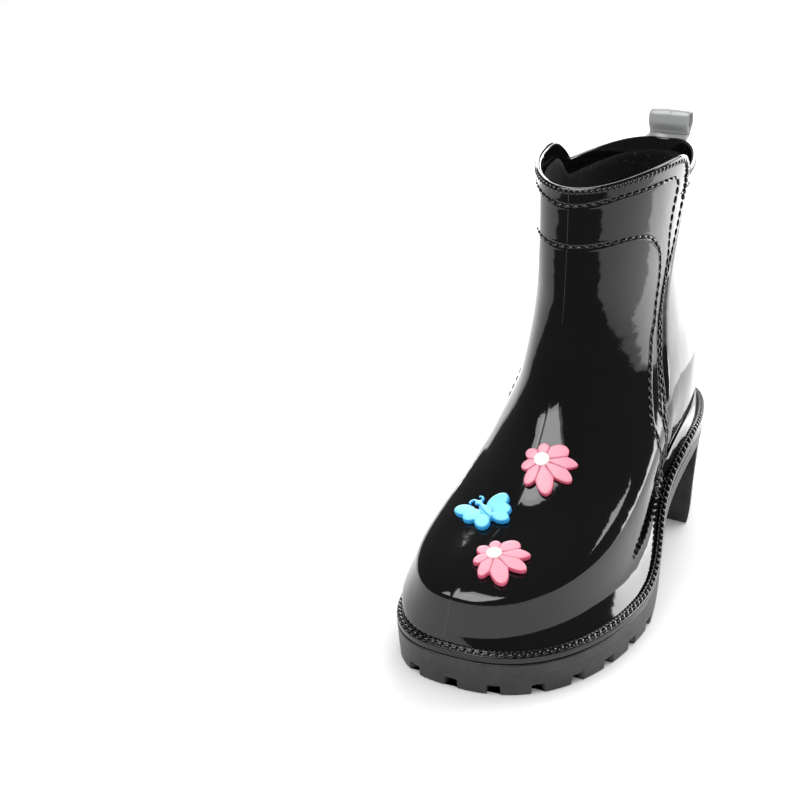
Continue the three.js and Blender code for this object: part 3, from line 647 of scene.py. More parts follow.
class RainBootColours(bpy.types.PropertyGroup):
    upper: colour_prop("Upper", "Moulded upper", (0.002, 0.002, 0.0021))
    sole: colour_prop("Sole", "Sole and heel", (0.012, 0.012, 0.0125))
    tab: colour_prop("Pull tab", "Pull tab strip", (0.34, 0.345, 0.35))
    lining: colour_prop("Lining", "Textile lining", (0.005, 0.0049, 0.0046))
    petal: colour_prop("Petal", "Face of the petals", (0.8, 0.33, 0.42))
    petal_edge: colour_prop("Petal edge", "Side walls of the petals", (0.66, 0.11, 0.19))
    wing: colour_prop("Wing", "Face of the wings", (0.2, 0.72, 0.94))
    wing_edge: colour_prop("Wing edge", "Side walls of the wings", (0.03, 0.38, 0.8))


# ---------- upper ----------
def dense(path):
    """The path in even short steps, smoothed at its corners."""
    path = np.asarray(path, float)
    steps = np.hypot(np.diff(path[:, 0]) * 0.6, np.diff(path[:, 1]) * 260)
    w = np.append(0, np.cumsum(steps))
    s = np.arange(0, w[-1], 0.48)
    return np.stack([curve(w, path[:, 0])(s), curve(w, path[:, 1])(s)], -1)


def seam_paths():
    """Centre lines of the moulded seams on the front panel, as angle and height, both sides."""
    def both(right):
        right = np.asarray(right, float)
        return dense(np.concatenate([right[:0:-1] * [-1, 1], right]))

    def down(line, start):
        return [(float(line(t)), t) for t in np.arange(start, 0.004, -0.01)]

    cuff = [(0, .8935), (15, .8938), (30, .894), (45, .8935), (54, .890), (61, .8845), (66, .8785)]
    rim = [(0, .967), (20, .970), (40, .973), (60, .970), (75, .968), (81, .966), (84.5, .961),
           (86.8, .953), (87.9, .944)]
    rope = [(0, .9925), (20, .9925), (40, .9925), (60, .9925), (74, .9925), (83, .991),
            (90, .985), (95.3, .97), (99, .95), (100.6, .93), (100.9, .915)]
    edge = np.array(down(lambda t: edge_angle(t) - EDGE_ROPE(t), 0.9))
    edges = [dense(edge * [side, 1]) for side in (-1, 1)]
    return [both(cuff + down(LINE_C, 0.87)), both(rim + down(LINE_B, 0.935)), both(rope)] + edges


CHANNEL_HALF = 0.75


def seam_relief(points, lines, depth):
    """Height of the channel and its raised borders at each point."""
    marks = np.concatenate(lines)
    tree = KDTree(len(marks))
    for k, q in enumerate(marks):
        tree.insert(q, k)
    tree.balance()
    d = np.array([tree.find(p)[2] for p in points.reshape(-1, 3)]).reshape(points.shape[:-1])
    return -depth * bell(d, CHANNEL_HALF, 4) + 0.1 * bell(d - 1.6 * CHANNEL_HALF, 0.32)


def rounded(d, radius):
    u = np.clip(1 - d / radius, 0, 1)
    return radius * (1 - np.sqrt(np.maximum(1 - u * u, 0)))


def stretches(steps, last):
    """Rows in stretches of (from, to, count), then the closer rows of the rim."""
    return np.concatenate([np.linspace(*step)[:-1] for step in steps] + [last])


def front_columns(t):
    """Angles of one row: columns run along the seam lines and close up near them."""
    a, b, c = edge_angle(t), float(LINE_B(t)), float(LINE_C(t))
    b = min(b, a - 1.4)
    c = min(c, b - 1.4)
    g = float(spread(c * RAD, t)[0]) * RAD
    near = np.array([3.2, 2.6, 2.2, 1.9, 1.65, 1.4, 1.15, 0.9, 0.6, 0.3]) / g
    start = np.array([0, 0.16, 0.32, 0.55, 0.9]) / g
    mid = np.linspace(0.9 / g, c - near[0], 68)[1:-1]
    w = np.linspace(0, 1, 21)
    cb = c + (b - c) * (w - 0.1 * np.sin(2 * np.pi * w) / (2 * np.pi) * 3)
    end = np.array([1.15, 0.8, 0.5, 0.28, 0.12, 0.03, 0]) / g
    ba = np.linspace(b, a - end[0], 15)[1:-1]
    half = np.concatenate([start, mid, c - near, cb, ba, a - end])
    return np.concatenate([-half[:0:-1], half])


def panel(name, look, th, t, outer, inner):
    """A closed panel between two heights over the skin."""
    base, n = skin(th, t), normal(th, t)
    points, quads = sheet_solid(base + n * outer[..., None], base + n * inner[..., None])
    return add_mesh(name, points, quads, (), look)


def build_front_panel(look, depth):
    rows = stretches(
        [(0, 0.12, 9), (0.12, 0.62, 78), (0.62, 0.82, 26), (0.82, 0.905, 38), (0.905, 0.955, 9),
         (0.955, 0.982, 14)],
        [0.982, 0.985, 0.988, 0.991, 0.9935, 0.9955, 0.9972, 0.9984, 0.9992, 0.9997, 1.0])
    th = np.stack([front_columns(t) for t in rows]) * RAD
    t = np.repeat(rows[:, None], th.shape[1], 1)
    around, up = spread(th, t)
    cuff, rim, _, *edges = seam_paths()
    lines = [skin_line(p[:, 0], p[:, 1])[0] for p in (cuff, rim, *edges)]
    relief = seam_relief(skin(th, t), lines, depth)
    rear = edge_angle(rows)[:, None] * RAD
    below = np.clip(rows, 0, 0.9998)
    slope = np.gradient(edge_angle(below), below + np.arange(len(rows)) * 1e-9) * RAD
    lean = up / np.sqrt(up ** 2 + (slope[:, None] * around) ** 2)
    side = (rear - np.abs(th)) * around * lean
    d = np.minimum(np.maximum(side, 0), np.maximum((1 - t) * up, 0))
    cut = rounded(d, SHELL / 2)
    border = 0.34 * bell(d - 1.5, 0.55)
    part = 0.16 * bell(th * around, 0.22)
    swell = 0.16 * np.sin(3.1 * th + 9 * t) * np.sin(17 * t + 1.3) * smooth((t - 0.12) / 0.2)
    out = relief * smooth((d - 0.5) / 1.2) + border + part + swell * smooth(d / 6) - cut
    return panel("front_panel", look, th, t, out, cut - SHELL)


def build_rear_panel(look):
    rows = stretches([(0, 0.9, 96), (0.9, 0.985, 30)],
                     [0.985, 0.9885, 0.9915, 0.994, 0.996, 0.9975, 0.9986, 0.9994, 0.9998, 1.0])
    r = rows[:, None]
    start = (np.array([edge_angle(min(q * HEM, HEM)) for q in rows])[:, None] - 5.5) * RAD
    th = start + (2 * np.pi - 2 * start) * np.linspace(0, 1, 170)
    t = r * top_t(th)
    around, up = spread(th, t)
    edge = edge_angle(np.clip(t, 0, 1)) * RAD
    side = (np.minimum(th, 2 * np.pi - th) - edge) * around
    d = np.maximum((1 - r) * up * top_t(th), 0)
    cut = rounded(d, SHELL / 2 - 0.1)
    drop = 1.15 * (1 - smooth((side - 0.2) / 7))
    from_hem = (r - HEM) * up
    hem = -0.35 * bell(from_hem, 0.95, 4) + 0.22 * bell(np.abs(from_hem) - 1.5, 0.36)
    roll = 0.45 * bell(d - 1.6, 0.9)
    ridge = 0.1 * bell((th - np.pi) * around, 0.25) * (r < 0.9)
    out = -0.25 - drop - cut + (hem + roll) * smooth((side - 1.0) / 2.5) + ridge
    return panel("rear_panel", look, th, t, out, cut - SHELL)


class RAINBOOT_OT_upper(bpy.types.Operator):
    """Build the two panels of the glossy moulded upper"""
    bl_idname = "rainboot.upper"
    bl_label = "Upper panels"

    def execute(self, context):
        look = finish("gloss_pvc")
        depth = context.scene.rain_boot_sizes.groove_depth * 1000
        settle(build_front_panel(look, depth), "gloss_pvc", "upper_front_panel")
        settle(build_rear_panel(look), "gloss_pvc", "upper_rear_panel")
        return {"FINISHED"}


class RAINBOOT_OT_stitching(bpy.types.Operator):
    """Lay the moulded dashes in the seam channels and the rope along the rims"""
    bl_idname = "rainboot.stitching"
    bl_label = "Moulded stitching"

    def execute(self, context):
        s = context.scene.rain_boot_sizes
        dash = dict(DASH, pitch=s.stitch_pitch, width=s.stitch_width)
        cuff, rim, rope, *edges = seam_paths()
        th = np.linspace(97, 263, 240)
        top = top_t(th * RAD)
        for name, lines, sizes in (
                ("front_stitching",
                 [skin_line(p[:, 0], p[:, 1], 0.05) for p in (cuff, rim, *edges)], dash),
                ("front_rim_rope", [skin_line(rope[:, 0], rope[:, 1], 0.1)], RIM_BEAD),
                ("rear_hem_stitching", [skin_line(th, top * HEM, -0.3)], dash),
                ("rear_rim_rope", [skin_line(th, top * 0.9935, -0.05)], RIM_BEAD)):
            settle(dash_rows(name, lines, finish("gloss_pvc"), **sizes), "gloss_pvc")
        return {"FINISHED"}


class RAINBOOT_OT_lining(bpy.types.Operator):
    """Build the textile lining"""
    bl_idname = "rainboot.lining"
    bl_label = "Lining"

    def execute(self, context):
        cols, foot_t = 200, 0.02
        r = np.linspace(foot_t, 1, 90)[:, None]
        th = np.repeat(np.linspace(0, 2 * np.pi, cols, endpoint=False)[None], len(r), 0)
        t = foot_t + (r - foot_t) / (1 - foot_t) * (top_t(th) - 0.028 - foot_t)
        base, n = skin(th, t), normal(th, t)
        around, up = spread(th, t)
        pucker = 0.12 * np.sin(23 * th + 3 * np.sin(9 * t)) * np.sin(31 * t)
        fold = 0.35 * bell((1 - r) * up - 2.2, 1.2)
        off = -SHELL - 0.75
        outer, inner = base + n * off, base + n * (off - 0.9 + pucker - fold)[..., None]
        points, quads = ring_solid(np.concatenate([outer, inner[::-1]]))
        u = np.cumsum(around, 1) * (2 * np.pi / cols)
        v = np.cumsum(up * np.gradient(t, axis=0), 0)
        uv = np.stack([u, v], -1)
        uv = np.concatenate([uv, uv[::-1]])
        ob = add_mesh("shaft_lining", points, quads, (), finish("lining_textile"), uv)
        settle(ob, "lining_textile", "lining")
        return {"FINISHED"}


# ---------- sole ----------
TREAD_START = 156  # how far forward the flat tread begins
LUG_DEPTH = 8.5
NOTCHES = np.arange(-143, 136, 21.0)  # middles of the notches, along the edge from the toe
GROOVES = np.arange(172, 236, 16)  # middles of the tread's grooves, forward of the heel
HEEL_NOTCHES = np.pi + np.array([-33, -11, 11, 33]) * RAD


def under_z(f):
    """Height of the sole's underside."""
    thick = SOLE_AT_HEEL + (SOLE_AT_BALL - SOLE_AT_HEEL) * smooth((f - 60) / 95)
    z = np.maximum(0, foot_z(f) - WELT_DROP - thick) * smooth((TREAD_START - f) / 12)
    return np.where(f >= TREAD_START, 0.0, z)


def notch_mask(s, width):
    """1 inside a notch of the sole edge, 0 on a lug, along the length s from the toe."""
    m = np.zeros_like(s)
    for at in NOTCHES:
        m = np.maximum(m, smooth((width / 2 + 0.35 - np.abs(s - at)) / 0.7))
    return m


def tread(x, f):
    """The underside with its grooves across the forefoot."""
    bars = np.zeros_like(f)
    for at in GROOVES:
        bars = np.maximum(bars, smooth((2.3 - np.abs(f - at)) / 0.6))
    return under_z(f) + 2.5 * bars * smooth((32.3 - np.abs(x - 4)) / 0.6)


def bed_z(x, f):
    return foot_z(f) - 0.6


def build_outsole(sizes):
    n = sizes.ring_steps
    th, s = (np.roll(v, -n // 2) for v in even_ring(n))
    mask = notch_mask(s, sizes.notch_width * 1000)
    high = sizes.notch_height * 1000
    f0 = -foot(th, np.full(n, 2.0))[0][:, 1]
    top, low = foot_z(f0) - WELT_DROP, under_z(f0)
    section = [(off, low + dz, 0) for off, dz in ((1.0, 0.0), (1.5, 0.05), (1.85, 0.3), (2.0, 0.8))]
    for w in np.arange(1, 14) / 14:
        z = (low + 0.8) * (1 - w) + (top - 1.2) * w
        section.append((2.0 + 0.9 * w, z, 0.22 * bell(z - (top - 5.2), 0.5)))
    section += [(off, top + dz, 0) for off, dz in
                ((2.95, -1.2), (3.0, -0.7), (2.85, -0.2), (2.4, 0.0), (0.2, 0.0), (-0.25, 3.4))]
    rings = []
    for off, z, rib in section:
        cut = mask * smooth((high + 0.3 - z) / 0.6) * smooth((f0 - 60) / 10)
        p, _ = foot(th, off - LUG_DEPTH * cut - rib)
        p[:, 2] = z
        rings.append(p)
    rings[-1][:, 2] = bed_z(0, -rings[-1][:, 1])
    points, quads, tris = capped_solid(np.array(rings), tread, bed_z, 30)
    return turned(add_mesh("sole", points, quads, tris, finish("sole_rubber")))


def heel_angles(off, breast, steps=121):
    """Angles round the heel, from one end of its straight front to the other."""
    ends = []
    for sign in (1, -1):
        lo, hi = 60 * RAD, np.pi
        for _ in range(40):
            mid = (lo + hi) / 2
            if -foot(np.array([sign * mid]), np.array([off]))[0][0, 1] > breast:
                lo = mid
            else:
                hi = mid
        ends.append(lo)
    a, b = ends
    w = np.linspace(0, 1, steps)
    return np.concatenate([a + (np.pi - a) * w, -(b + (np.pi - b) * w[::-1])[1:]])


def build_heel():
    top = SEAT_Z - WELT_DROP - SOLE_AT_HEEL - 0.35
    offs = curve([0, 0.6, top * 0.5, top], [-3.6, -3.0, -0.6, 1.6])
    breasts = curve([0, 0.6, top * 0.5, top], [39.4, 40, 41.2, 43.2])
    w = np.linspace(0, 1, 22)[1:-1, None]
    rings = []
    for z in [0, 0.15, 0.5, 1.0, *np.linspace(1.6, 5.2, 9), *np.linspace(6, top - 1, 18),
              top - 0.4, top]:
        off = float(offs(z))
        th = heel_angles(off, float(breasts(z)))
        side = np.full(th.shape, off)
        for at in HEEL_NOTCHES:
            gap = np.abs(th % (2 * np.pi) - at) * 34
            side = side - 5.2 * smooth((2.8 - gap) / 0.6) * float(smooth((4.8 - z) / 0.6))
        p, _ = foot(th, side)
        p[:, 2] = z
        rings.append(np.concatenate([p, p[-1] * (1 - w) + p[0] * w]))
    rings = np.array(rings)
    points, quads, tris = fan_solid(rings, [rings[0].mean(0), rings[-1].mean(0)])
    ob = turned(add_mesh("heel", points, quads, tris, finish("sole_rubber")))
    bevel = ob.modifiers.new("edges", "BEVEL")
    bevel.width = 0.0007
    bevel.segments = 2
    bevel.limit_method = "ANGLE"
    bevel.angle_limit = 50 * RAD
    return ob


class RAINBOOT_OT_sole(bpy.types.Operator):
    """Build the lugged sole and the heel block"""
    bl_idname = "rainboot.sole"
    bl_label = "Sole and heel"

    def execute(self, context):
        settle(build_outsole(context.scene.rain_boot_sizes), "sole_rubber", "outsole")
        settle(build_heel(), "sole_rubber", "heel_block")
        return {"FINISHED"}


# Outwards and upwards from the feather line, round the edge strip's section.
STRIP_SECTION = [(-0.3, -3.5), (-0.3, 0.9), (0.0, 1.2), (0.4, 1.35), (0.75, 1.2), (0.95, 0.75),
                 (1.3, 0.45), (1.9, 0.1), (2.2, -0.35), (2.35, -0.2), (2.6, -0.05), (2.9, -0.2),
                 (3.05, -0.6), (3.1, -1.4), (3.0, -2.6), (2.75, -3.75)]


class RAINBOOT_OT_welt(bpy.types.Operator):
    """Build the sole edge strip with its rope of slanted beads"""
    bl_idname = "rainboot.welt"
    bl_label = "Rope edge"

    def execute(self, context):
        look = finish("gloss_pvc")
        sizes = context.scene.rain_boot_sizes
        th, _ = even_ring(sizes.ring_steps)
        strip = add_mesh("edge_strip", *ring_solid(foot_rings(th, STRIP_SECTION)), (), look)

        def line(off, up, lean):
            _, n = foot(th, np.full(th.shape, off))
            return foot_rings(th, [(off, up)])[0], unit(n * lean + np.array([0, 0, 1.0])), True

        rope = dash_rows("edge_rope", [line(1.6, 0.35, 0.5)], look,
                         pitch=sizes.rope_pitch, **EDGE_BEAD)
        dots = dash_rows("edge_dots", [line(0.35, 1.3, 0.1)], look, **EDGE_DOT)
        settle(strip, "sole_rubber", "welt")
        settle(rope, "sole_rubber")
        settle(dots, "sole_rubber")
        return {"FINISHED"}


# ---------- inside ----------
PAD_SECTION = [(-10.5, 3.2), (-9.6, 3.3), (-9.2, 3.9), (-9.4, 5.2), (-10.2, 6.2), (-11.0, 6.5)]
CLOTH_SECTION = [(-10.9, 6.9), (-10.5, 7.0), (-10.3, 7.3), (-10.5, 7.7), (-11.2, 7.9)]


def build_bed(name, section, crown, look):
    """A layer of the footbed, from its section and the rise of its top's middle."""
    n = 360
    rings = foot_rings(np.roll(even_ring(n)[0], -n // 2), section)
    low, high = section[0][1], section[-1][1] + crown
    points, quads, tris = capped_solid(
        rings, lambda x, f: foot_z(f) + low, lambda x, f: foot_z(f) + high, 24)
    return turned(add_mesh(name, points, quads, tris, look, points[:, :2]))


class RAINBOOT_OT_insole(bpy.types.Operator):
    """Build the footbed with its cloth cover"""
    bl_idname = "rainboot.insole"
    bl_label = "Footbed"

    def execute(self, context):
        bed = build_bed("footbed_pad", PAD_SECTION, 0.0, finish("foam"))
        settle(bed, "foam", "footbed")
        cover = build_bed("footbed_cloth", CLOTH_SECTION, 0.15, finish("lining_textile"))
        settle(cover, "lining_textile", "footbed_cover")
        for name, look in (("insole_board", "board"), ("heel_core", "core_plastic"),
                           ("shank", "shank_steel")):
            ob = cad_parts[name]
            ob.data.materials.clear()
            ob.data.materials.append(finish(look))
        return {"FINISHED"}


# ---------- pull tab ----------
TAB_W, TAB_T, TAB_GAP, TAB_H, TAB_LEAN = 23.0, 0.85, 5.2, 14.6, 0.16
TAIL_ROWS, TAB_COLS = 16, 29
STITCH_COLS = (2, 26)
LOOP_PART, TAIL_PART, TAIL_ENDS = slice(24, 60), slice(1, 14), (1, 12)


def rear_angle(x, t):
    """Angle near the back where the skin lies x across."""
    th = np.full(np.shape(x), np.pi)
    x = np.where(np.abs(x) < 0.4, 0.4, x)
    for _ in range(14):
        p, q = skin(th, t)[..., 0], skin(th + 0.01, t)[..., 0]
        slope = np.where(np.abs(q - p) < 1e-5, -1e-2, q - p)
        th = th + np.clip((x - p) * 0.01 / slope, -0.2, 0.2)
    return th


def build_tab(look):
    """The strip, with the middle points and outward directions of its rows."""
    rim = skin(np.pi, 1.0)
    root_y, root_z = rim[1] + 1.9, rim[2] + 1.85
    xs = np.linspace(-TAB_W / 2, TAB_W / 2, TAB_COLS)
    mid, out = [], []
    for t in np.linspace(0.915, 0.997, TAIL_ROWS):
        th = rear_angle(xs, t)
        ts = np.full(th.shape, t)
        mid.append(shell(th, ts, np.full(th.shape, 0.85)))
        out.append(normal(th, ts))
    fold_z = rim[2] + TAB_H - TAB_T - TAB_GAP / 2
    fold = TAB_GAP / 2 + TAB_T / 2 + 0.05
    side = [(TAB_T / 2 + 0.05 + TAB_GAP / 2 * float(smooth((z - root_z - 0.6) / 5.6)), z)
            for z in np.linspace(root_z + 0.2, fold_z, 22)]
    bend = [(fold * math.cos(a), fold_z + fold * math.sin(a))
            for a in np.linspace(0, np.pi, 16)[1:-1]]
    bow = 0.35 * (1 - (2 * xs / TAB_W) ** 2)
    for y, z in side + bend + [(-y, z) for y, z in side[::-1]]:
        crease = 0.4 * bell(xs, 0.55) * float(smooth((z - root_z - 3) / 5))
        mid.append(np.stack([xs, root_y + y + TAB_LEAN * (z - root_z) + bow * 0.6
                             - crease * np.sign(y), z + bow * float(smooth((z - fold_z) / 3))], -1))
    mid = np.array(mid)
    n = unit(np.cross(np.gradient(mid, axis=1), np.gradient(mid, axis=0)))
    if n[2, TAB_COLS // 2] @ out[2][TAB_COLS // 2] < 0:
        n = -n
    u = (np.abs(xs) / (TAB_W / 2) - 0.95) / 0.05
    thick = TAB_T / 2 * np.sqrt(np.clip(1 - u.clip(0, 1) ** 2, 0.02, 1))
    grow = np.ones(len(mid))
    grow[:TAIL_ROWS] = np.linspace(0.7, 1, TAIL_ROWS)
    grow[[0, -1]] = 0.3
    h = thick[None, :, None] * grow[:, None, None]
    points, quads = sheet_solid(mid + n * h, mid - n * h)
    return turned(add_mesh("pull_tab_strip", points, quads, (), look)), mid, n


class RAINBOOT_OT_pull_tab(bpy.types.Operator):
    """Build the folded strip of the pull tab with its stitched tail"""
    bl_idname = "rainboot.pull_tab"
    bl_label = "Pull tab"

    def execute(self, context):
        look = finish("tab_pvc")
        strip, mid, n = build_tab(look)

        def line(part, off):
            return mid[part] + n[part] * off, n[part], False

        loop = [line((LOOP_PART, j), 0.35) for j in STITCH_COLS]
        settle(dash_rows("tab_edge_stitching", loop, look, height=0.0006, **TAB_DASH),
               "tab_pvc", body="tab")
        tail = [line((TAIL_PART, j), 0.3) for j in STITCH_COLS]
        tail += [line((i, slice(2, 27)), 0.3) for i in TAIL_ENDS]
        settle(dash_rows("tab_tail_stitching", tail, look, height=0.0007, **TAB_DASH), "tab_pvc")
        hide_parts("pull_tab_anchor", "pull_tab")
        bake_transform(strip)
        return {"FINISHED"}


# ---------- charms ----------
# Each petal: degrees, reach, half width, how far its end is drawn to a point.
PETALS = [(100, 9.0, 3.2, 0), (44, 13.6, 4.6, 0), (10, 16.8, 3.6, 0.3), (-22, 18.0, 3.9, 0),
          (-64, 19.6, 4.5, 0), (-100, 15.4, 3.4, 0), (-141, 10.6, 3.1, 0), (162, 9.4, 3.3, 0)]
# Each wing lobe: middle, half length, half width, degrees.
WINGS = [(2.8, 9.2, 6.4, 4.6, 66), (7.0, 5.0, 4.6, 4.0, 20), (8.4, 0.4, 4.8, 3.4, -8),
         (-11.0, 0.4, 6.3, 3.9, 172), (-5.6, -2.4, 4.8, 4.2, -130), (1.4, -5.2, 5.0, 3.8, -52),
         (0.2, 1.6, 6.4, 2.6, -37)]
CHARM_LOW, CHARM_HIGH = 0.25, 3.0


def layout(th_c, t_c, turn):
    """Lays flat points (across, up, height) on the vamp round one spot."""
    p0 = skin(th_c, t_c)
    n = normal(th_c, t_c)
    u = unit(np.array([1.0, 0, 0]) - n * n[0])
    v = np.cross(n, u)
    c, s = math.cos(turn), math.sin(turn)

    def put(a, b, h):
        x, y = a * c - b * s, a * s + b * c
        th, t = np.full(x.shape, th_c), np.full(x.shape, t_c)
        e = 0.002
        for _ in range(8):
            q = skin(th, t) - p0
            qa = (skin(th + e, t) - p0 - q) / e
            qb = (skin(th, t + e) - p0 - q) / e
            rx, ry = x - q @ u, y - q @ v
            au, av, bu, bv = qa @ u, qa @ v, qb @ u, qb @ v
            det = au * bv - bu * av
            th = th + np.clip((rx * bv - ry * bu) / det, -0.3, 0.3)
            t = t + np.clip((ry * au - rx * av) / det, -0.08, 0.08)
        return shell(th, t, h)

    return put


def pillow(cx, cy, a, b, turn, low, high, point=0.0):
    """Rounded lobe: long way a along turn, half width b, its outer end drawn to a point."""
    w = np.linspace(0, 2 * np.pi, 36, endpoint=False)
    c, s = math.cos(turn), math.sin(turn)
    rings = []
    for k, share in ((0.6, 0), (1.0, 0), (1.0, 0.55), (0.975, 0.75), (0.92, 0.88), (0.82, 0.96),
                     (0.6, 1), (0.3, 1)):
        x = a * k * np.cos(w)
        y = b * k * np.sin(w) * (1 - point * np.clip(np.cos(w), 0, 1) ** 3)
        h = np.full(w.shape, low + share * (high - low))
        rings.append(np.stack([cx + x * c - y * s, cy + x * s + y * c, h], -1))
    return fan_solid(np.array(rings), [[cx, cy, low], [cx, cy, high]])


def lobe_reach(co, cx, cy, a, b, turn):
    """0 at the middle of a lobe and 1 at its edge."""
    x, y = co[:, 0] - cx, co[:, 1] - cy
    c, s = math.cos(turn), math.sin(turn)
    return np.hypot((x * c + y * s) / a, (y * c - x * s) / b)


def vertex_values(me, key):
    values = np.zeros(len(me.vertices) * 3, np.float32)
    me.vertices.foreach_get(key, values)
    return values.reshape(-1, 3).astype(float)


def fuse(name, lobes, put, slot, cad, low=CHARM_LOW, high=CHARM_HIGH, voxel=0.26, plan=()):
    """Joins lobes into one closed body with soft creases, then lays it on the boot."""
    verts, faces, base = [], [], 0
    for points, quads, tris in lobes:
        verts += points.tolist()
        faces += (quads + base).tolist() + (tris + base).tolist()
        base += len(points)
    me = bpy.data.meshes.new(name + "_flat")
    me.from_pydata(verts, [], faces)
    flat = turned(link_object(name + "_flat", me))
    join = flat.modifiers.new("join", "REMESH")
    join.mode = "VOXEL"
    join.voxel_size = voxel
    soft = flat.modifiers.new("soften", "SMOOTH")
    soft.iterations = 3
    soft.factor = 0.5
    done = applied(flat)
    co = vertex_values(done, "co")
    facing = vertex_values(done, "normal")[:, 2]
    wall = 1.25 * (1 - np.clip((facing - 0.35) / 0.5, 0, 1))
    wall = np.clip(wall + np.clip((high - 0.32 - co[:, 2]) / 0.5, 0, 1), 0, 1)
    if len(plan):
        near = np.sort([lobe_reach(co, *p) for p in plan], axis=0)
        valley = bell(near[1] - near[0], 0.085) * np.clip((co[:, 2] - low) / (high - low), 0, 1)
        co[:, 2] -= 0.75 * valley
        wall = np.maximum(wall, 0.95 * valley)
    laid = to_frame(put(*co.T))
    done.vertices.foreach_set("co", laid.astype(np.float32).ravel())
    attr = done.attributes.new("rim", "FLOAT", "POINT")
    attr.data.foreach_set("value", wall.astype(np.float32))
    done.polygons.foreach_set("use_smooth", np.ones(len(done.polygons), bool))
    done.update()
    bpy.data.objects.remove(flat)
    done.name = name
    done.materials.clear()
    done.materials.append(finish(slot))
    settle(link_object(name, done), slot, cad)


class RAINBOOT_OT_charms(bpy.types.Operator):
    """Build the two flowers and the butterfly on the vamp"""
    bl_idname = "rainboot.charms"
    bl_label = "Soft charms"

    def execute(self, context):
        both = CHARM_LOW, CHARM_HIGH
        eye = CHARM_HIGH - 0.8, CHARM_HIGH + 0.75
        trunk = CHARM_HIGH - 0.6, CHARM_HIGH + 0.9
        for name, th, t, turn in (("flower_upper", 6, 0.517, 0), ("flower_lower", 7, 0.367, 12)):
            put = layout(th * RAD, t, turn * RAD)
            lobes, plan = [], []
            for deg, reach, half, point in PETALS:
                a, m = deg * RAD, (reach + 1.4) / 2
                plan.append((m * math.cos(a), m * math.sin(a), m - 1.4, half * 0.97, a))
                lobes.append(pillow(*plan[-1], *both, point))
            lobes.append(pillow(0, 0, 4.3, 4.3, 0, CHARM_LOW, CHARM_HIGH - 0.5))
            fuse(name + "_petal_ring", lobes, put, "charm_pink", name + "_petals", plan=plan)
            fuse(name + "_eye", [pillow(0, 0, 3.7, 3.7, 0, *eye)], put,
                 "charm_white", name + "_centre", *eye)
        put = layout(-15 * RAD, 0.411, 0)
        lobes = [pillow(x, y, a, b, deg * RAD, *both) for x, y, a, b, deg in WINGS]
        fuse("butterfly_wing_plate", lobes, put, "charm_blue", "butterfly_wings")
        low, high = trunk
        bits = [pillow(0.2, 1.8, 6.6, 1.25, -37 * RAD, *trunk),
                pillow(-5.0, 5.6, 1.5, 1.5, 0, *trunk)]
        for cx, cy, start in ((-6.2, 8.2, -100), (-8.4, 5.2, -10)):
            for a in (start + np.arange(9) * 26) * RAD:
                bits.append(pillow(cx + 1.7 * math.cos(a), cy + 1.7 * math.sin(a), 0.75, 0.55,
                                   a + np.pi / 2, low, high - 0.2))
        fuse("butterfly_trunk", bits, put, "charm_blue", "butterfly_body", *trunk, voxel=0.2)
        return {"FINISHED"}


# ---------- stage ----------
VIEW_FAR, VIEW_ROLL = 0.8844, -1.67 * RAD
VIEW_AZ, VIEW_EL = 32.44, 21.73
VIEW_AT = Vector((-0.13255, 0.03731, 0.06))
SENSOR, LENS = 36, 69.2
FLOOR = [(-3, -0.5, 0), (3, -0.5, 0), (3, 5, 0), (-3, 5, 0)]
WHITE, DIM = (1.05, 1.05, 1.05, 1), (0.12, 0.12, 0.125, 1)


def toward(az, el):
    """Direction az degrees round from the toe over the outer side and el degrees up."""
    az, el = az * RAD, el * RAD
    return Vector((math.sin(az) * math.cos(el), -math.cos(az) * math.cos(el), math.sin(el)))


def softbox(name, place, target, size, power, only_gloss=False):
    """A rectangular studio light; one only for the gloss leaves the matt surfaces alone."""
    data = bpy.data.lights.new(name, "AREA")
    data.shape = "RECTANGLE"
    data.size, data.size_y = size
    data.energy = power
    ob = link_object(name, data)
    ob.location = place
    ob.rotation_mode = "QUATERNION"
    ob.rotation_quaternion = (Vector(target) - Vector(place)).to_track_quat("-Z", "Y")
    ob.visible_camera = False
    ob.visible_diffuse = not only_gloss


def set_camera(scene):
    back = toward(VIEW_AZ, VIEW_EL)
    right = Vector((math.cos(VIEW_AZ * RAD), math.sin(VIEW_AZ * RAD), 0))
    up = back.cross(right)
    c, s = math.cos(VIEW_ROLL), math.sin(VIEW_ROLL)
    cam = bpy.data.cameras.new("camera")
    cam.sensor_width, cam.lens = SENSOR, LENS
    cam.clip_start, cam.clip_end = 0.05, 50
    m = Matrix((right * c + up * s, up * c - right * s, back)).transposed().to_4x4()
    m.translation = VIEW_AT + back * VIEW_FAR
    scene.camera = link_object("camera", cam)
    scene.camera.matrix_world = m


def lay_floor():
    me = bpy.data.meshes.new("floor")
    me.from_pydata(FLOOR, [], [(0, 1, 2, 3)])
    paper = bpy.data.materials.new("paper")
    paper.use_nodes = True
    shader = paper.node_tree.nodes["Principled BSDF"].inputs
    shader["Base Color"].default_value = (0.9, 0.9, 0.9, 1)
    shader["Roughness"].default_value = 0.9
    shader["Specular IOR Level"].default_value = 0.0
    me.materials.append(paper)
    link_object("floor", me)


def set_world(scene):
    """White to the camera and to matt surfaces, dim in the gloss."""
    world = bpy.data.worlds.new("studio")
    world.use_nodes = True
    t = world.node_tree
    mix = node(t, "ShaderNodeMix", data_type="RGBA", in_6=WHITE, in_7=DIM)
    t.links.new(node(t, "ShaderNodeLightPath").outputs["Is Glossy Ray"], mix.inputs[0])
    t.links.new(mix.outputs[2], t.nodes["Background"].inputs["Color"])
    scene.world = world


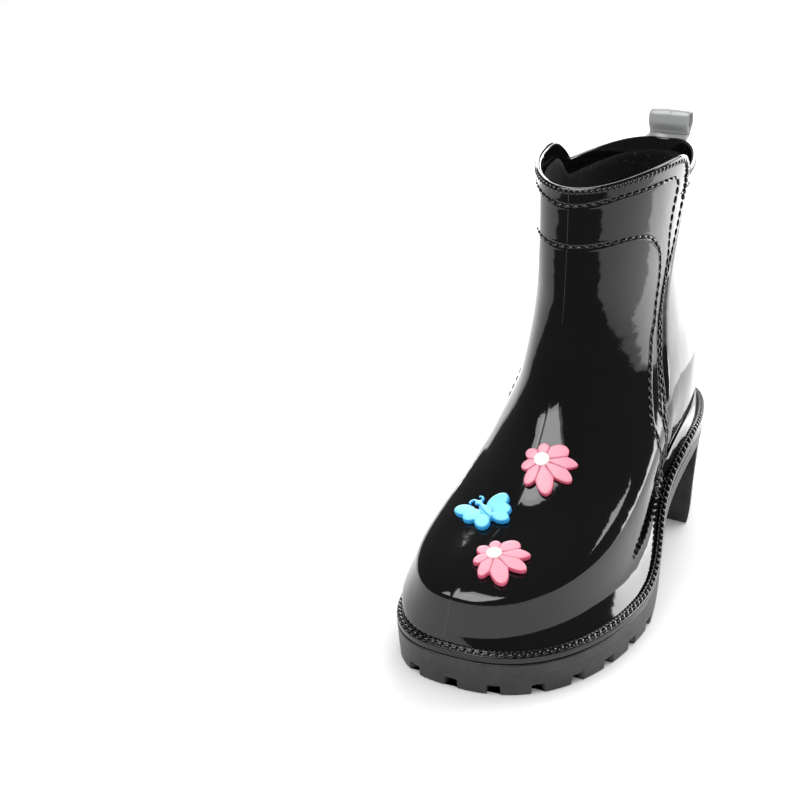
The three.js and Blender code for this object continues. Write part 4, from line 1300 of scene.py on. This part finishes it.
class RAINBOOT_OT_stage(bpy.types.Operator):
    """Set the camera, the pale floor and the soft studio lights"""
    bl_idname = "rainboot.stage"
    bl_label = "Stage"

    def execute(self, context):
        set_camera(context.scene)
        lay_floor()
        set_world(context.scene)
        at = Vector((0, 0, 0.1))
        for name, way, far, size, power, only_gloss in (
                ("top_box", (-28, 60), 1.2, (0.85, 0.95), 13, True),
                ("side_box", (-136, 16), 1.0, (0.34, 1.2), 10, True),
                ("back_box", (166, 6), 1.3, (1.7, 0.9), 38, True),
                ("fill_light", (-20, 60), 1.5, (1.0, 1.0), 4, False)):
            softbox(name, at + toward(*way) * far, at, size, power, only_gloss)
        softbox("floor_card", (0.15, 0.62, 0.03), (0.15, 0.62, 1), (1.5, 0.6), 5.5, True)
        softbox("floor_light", (0.1, 0.8, 0.9), (0.1, 0.75, 0), (1.6, 0.6), 16)
        context.scene.view_settings.view_transform = "Standard"
        return {"FINISHED"}


STEPS = ("stage", "upper", "stitching", "lining", "sole", "welt", "insole", "pull_tab", "charms")


class RAINBOOT_PT_panel(bpy.types.Panel):
    """Sizes, colours and building steps of the boot"""
    bl_label = "Rain boot"
    bl_idname = "RAINBOOT_PT_panel"
    bl_space_type = "VIEW_3D"
    bl_region_type = "UI"
    bl_category = "Rain boot"

    def draw(self, context):
        layout = self.layout
        for group in (context.scene.rain_boot_sizes, context.scene.rain_boot_colours):
            for key in group.bl_rna.properties.keys():
                if key not in ("rna_type", "name"):
                    layout.prop(group, key)
        for step in STEPS:
            layout.operator("rainboot." + step)


CLASSES = (RainBootSizes, RainBootColours, RAINBOOT_OT_stage, RAINBOOT_OT_upper,
           RAINBOOT_OT_stitching, RAINBOOT_OT_lining, RAINBOOT_OT_sole, RAINBOOT_OT_welt,
           RAINBOOT_OT_insole, RAINBOOT_OT_pull_tab, RAINBOOT_OT_charms, RAINBOOT_PT_panel)


def register():
    for c in CLASSES:
        bpy.utils.register_class(c)
    bpy.types.Scene.rain_boot_sizes = PointerProperty(type=RainBootSizes)
    bpy.types.Scene.rain_boot_colours = PointerProperty(type=RainBootColours)


def unregister():
    del bpy.types.Scene.rain_boot_sizes
    del bpy.types.Scene.rain_boot_colours
    for c in reversed(CLASSES):
        bpy.utils.unregister_class(c)


def main():
    register()
    shader_groups()
    make_materials()
    for step in STEPS:
        getattr(bpy.ops.rainboot, step)()


if __name__ == "__main__":
    main()
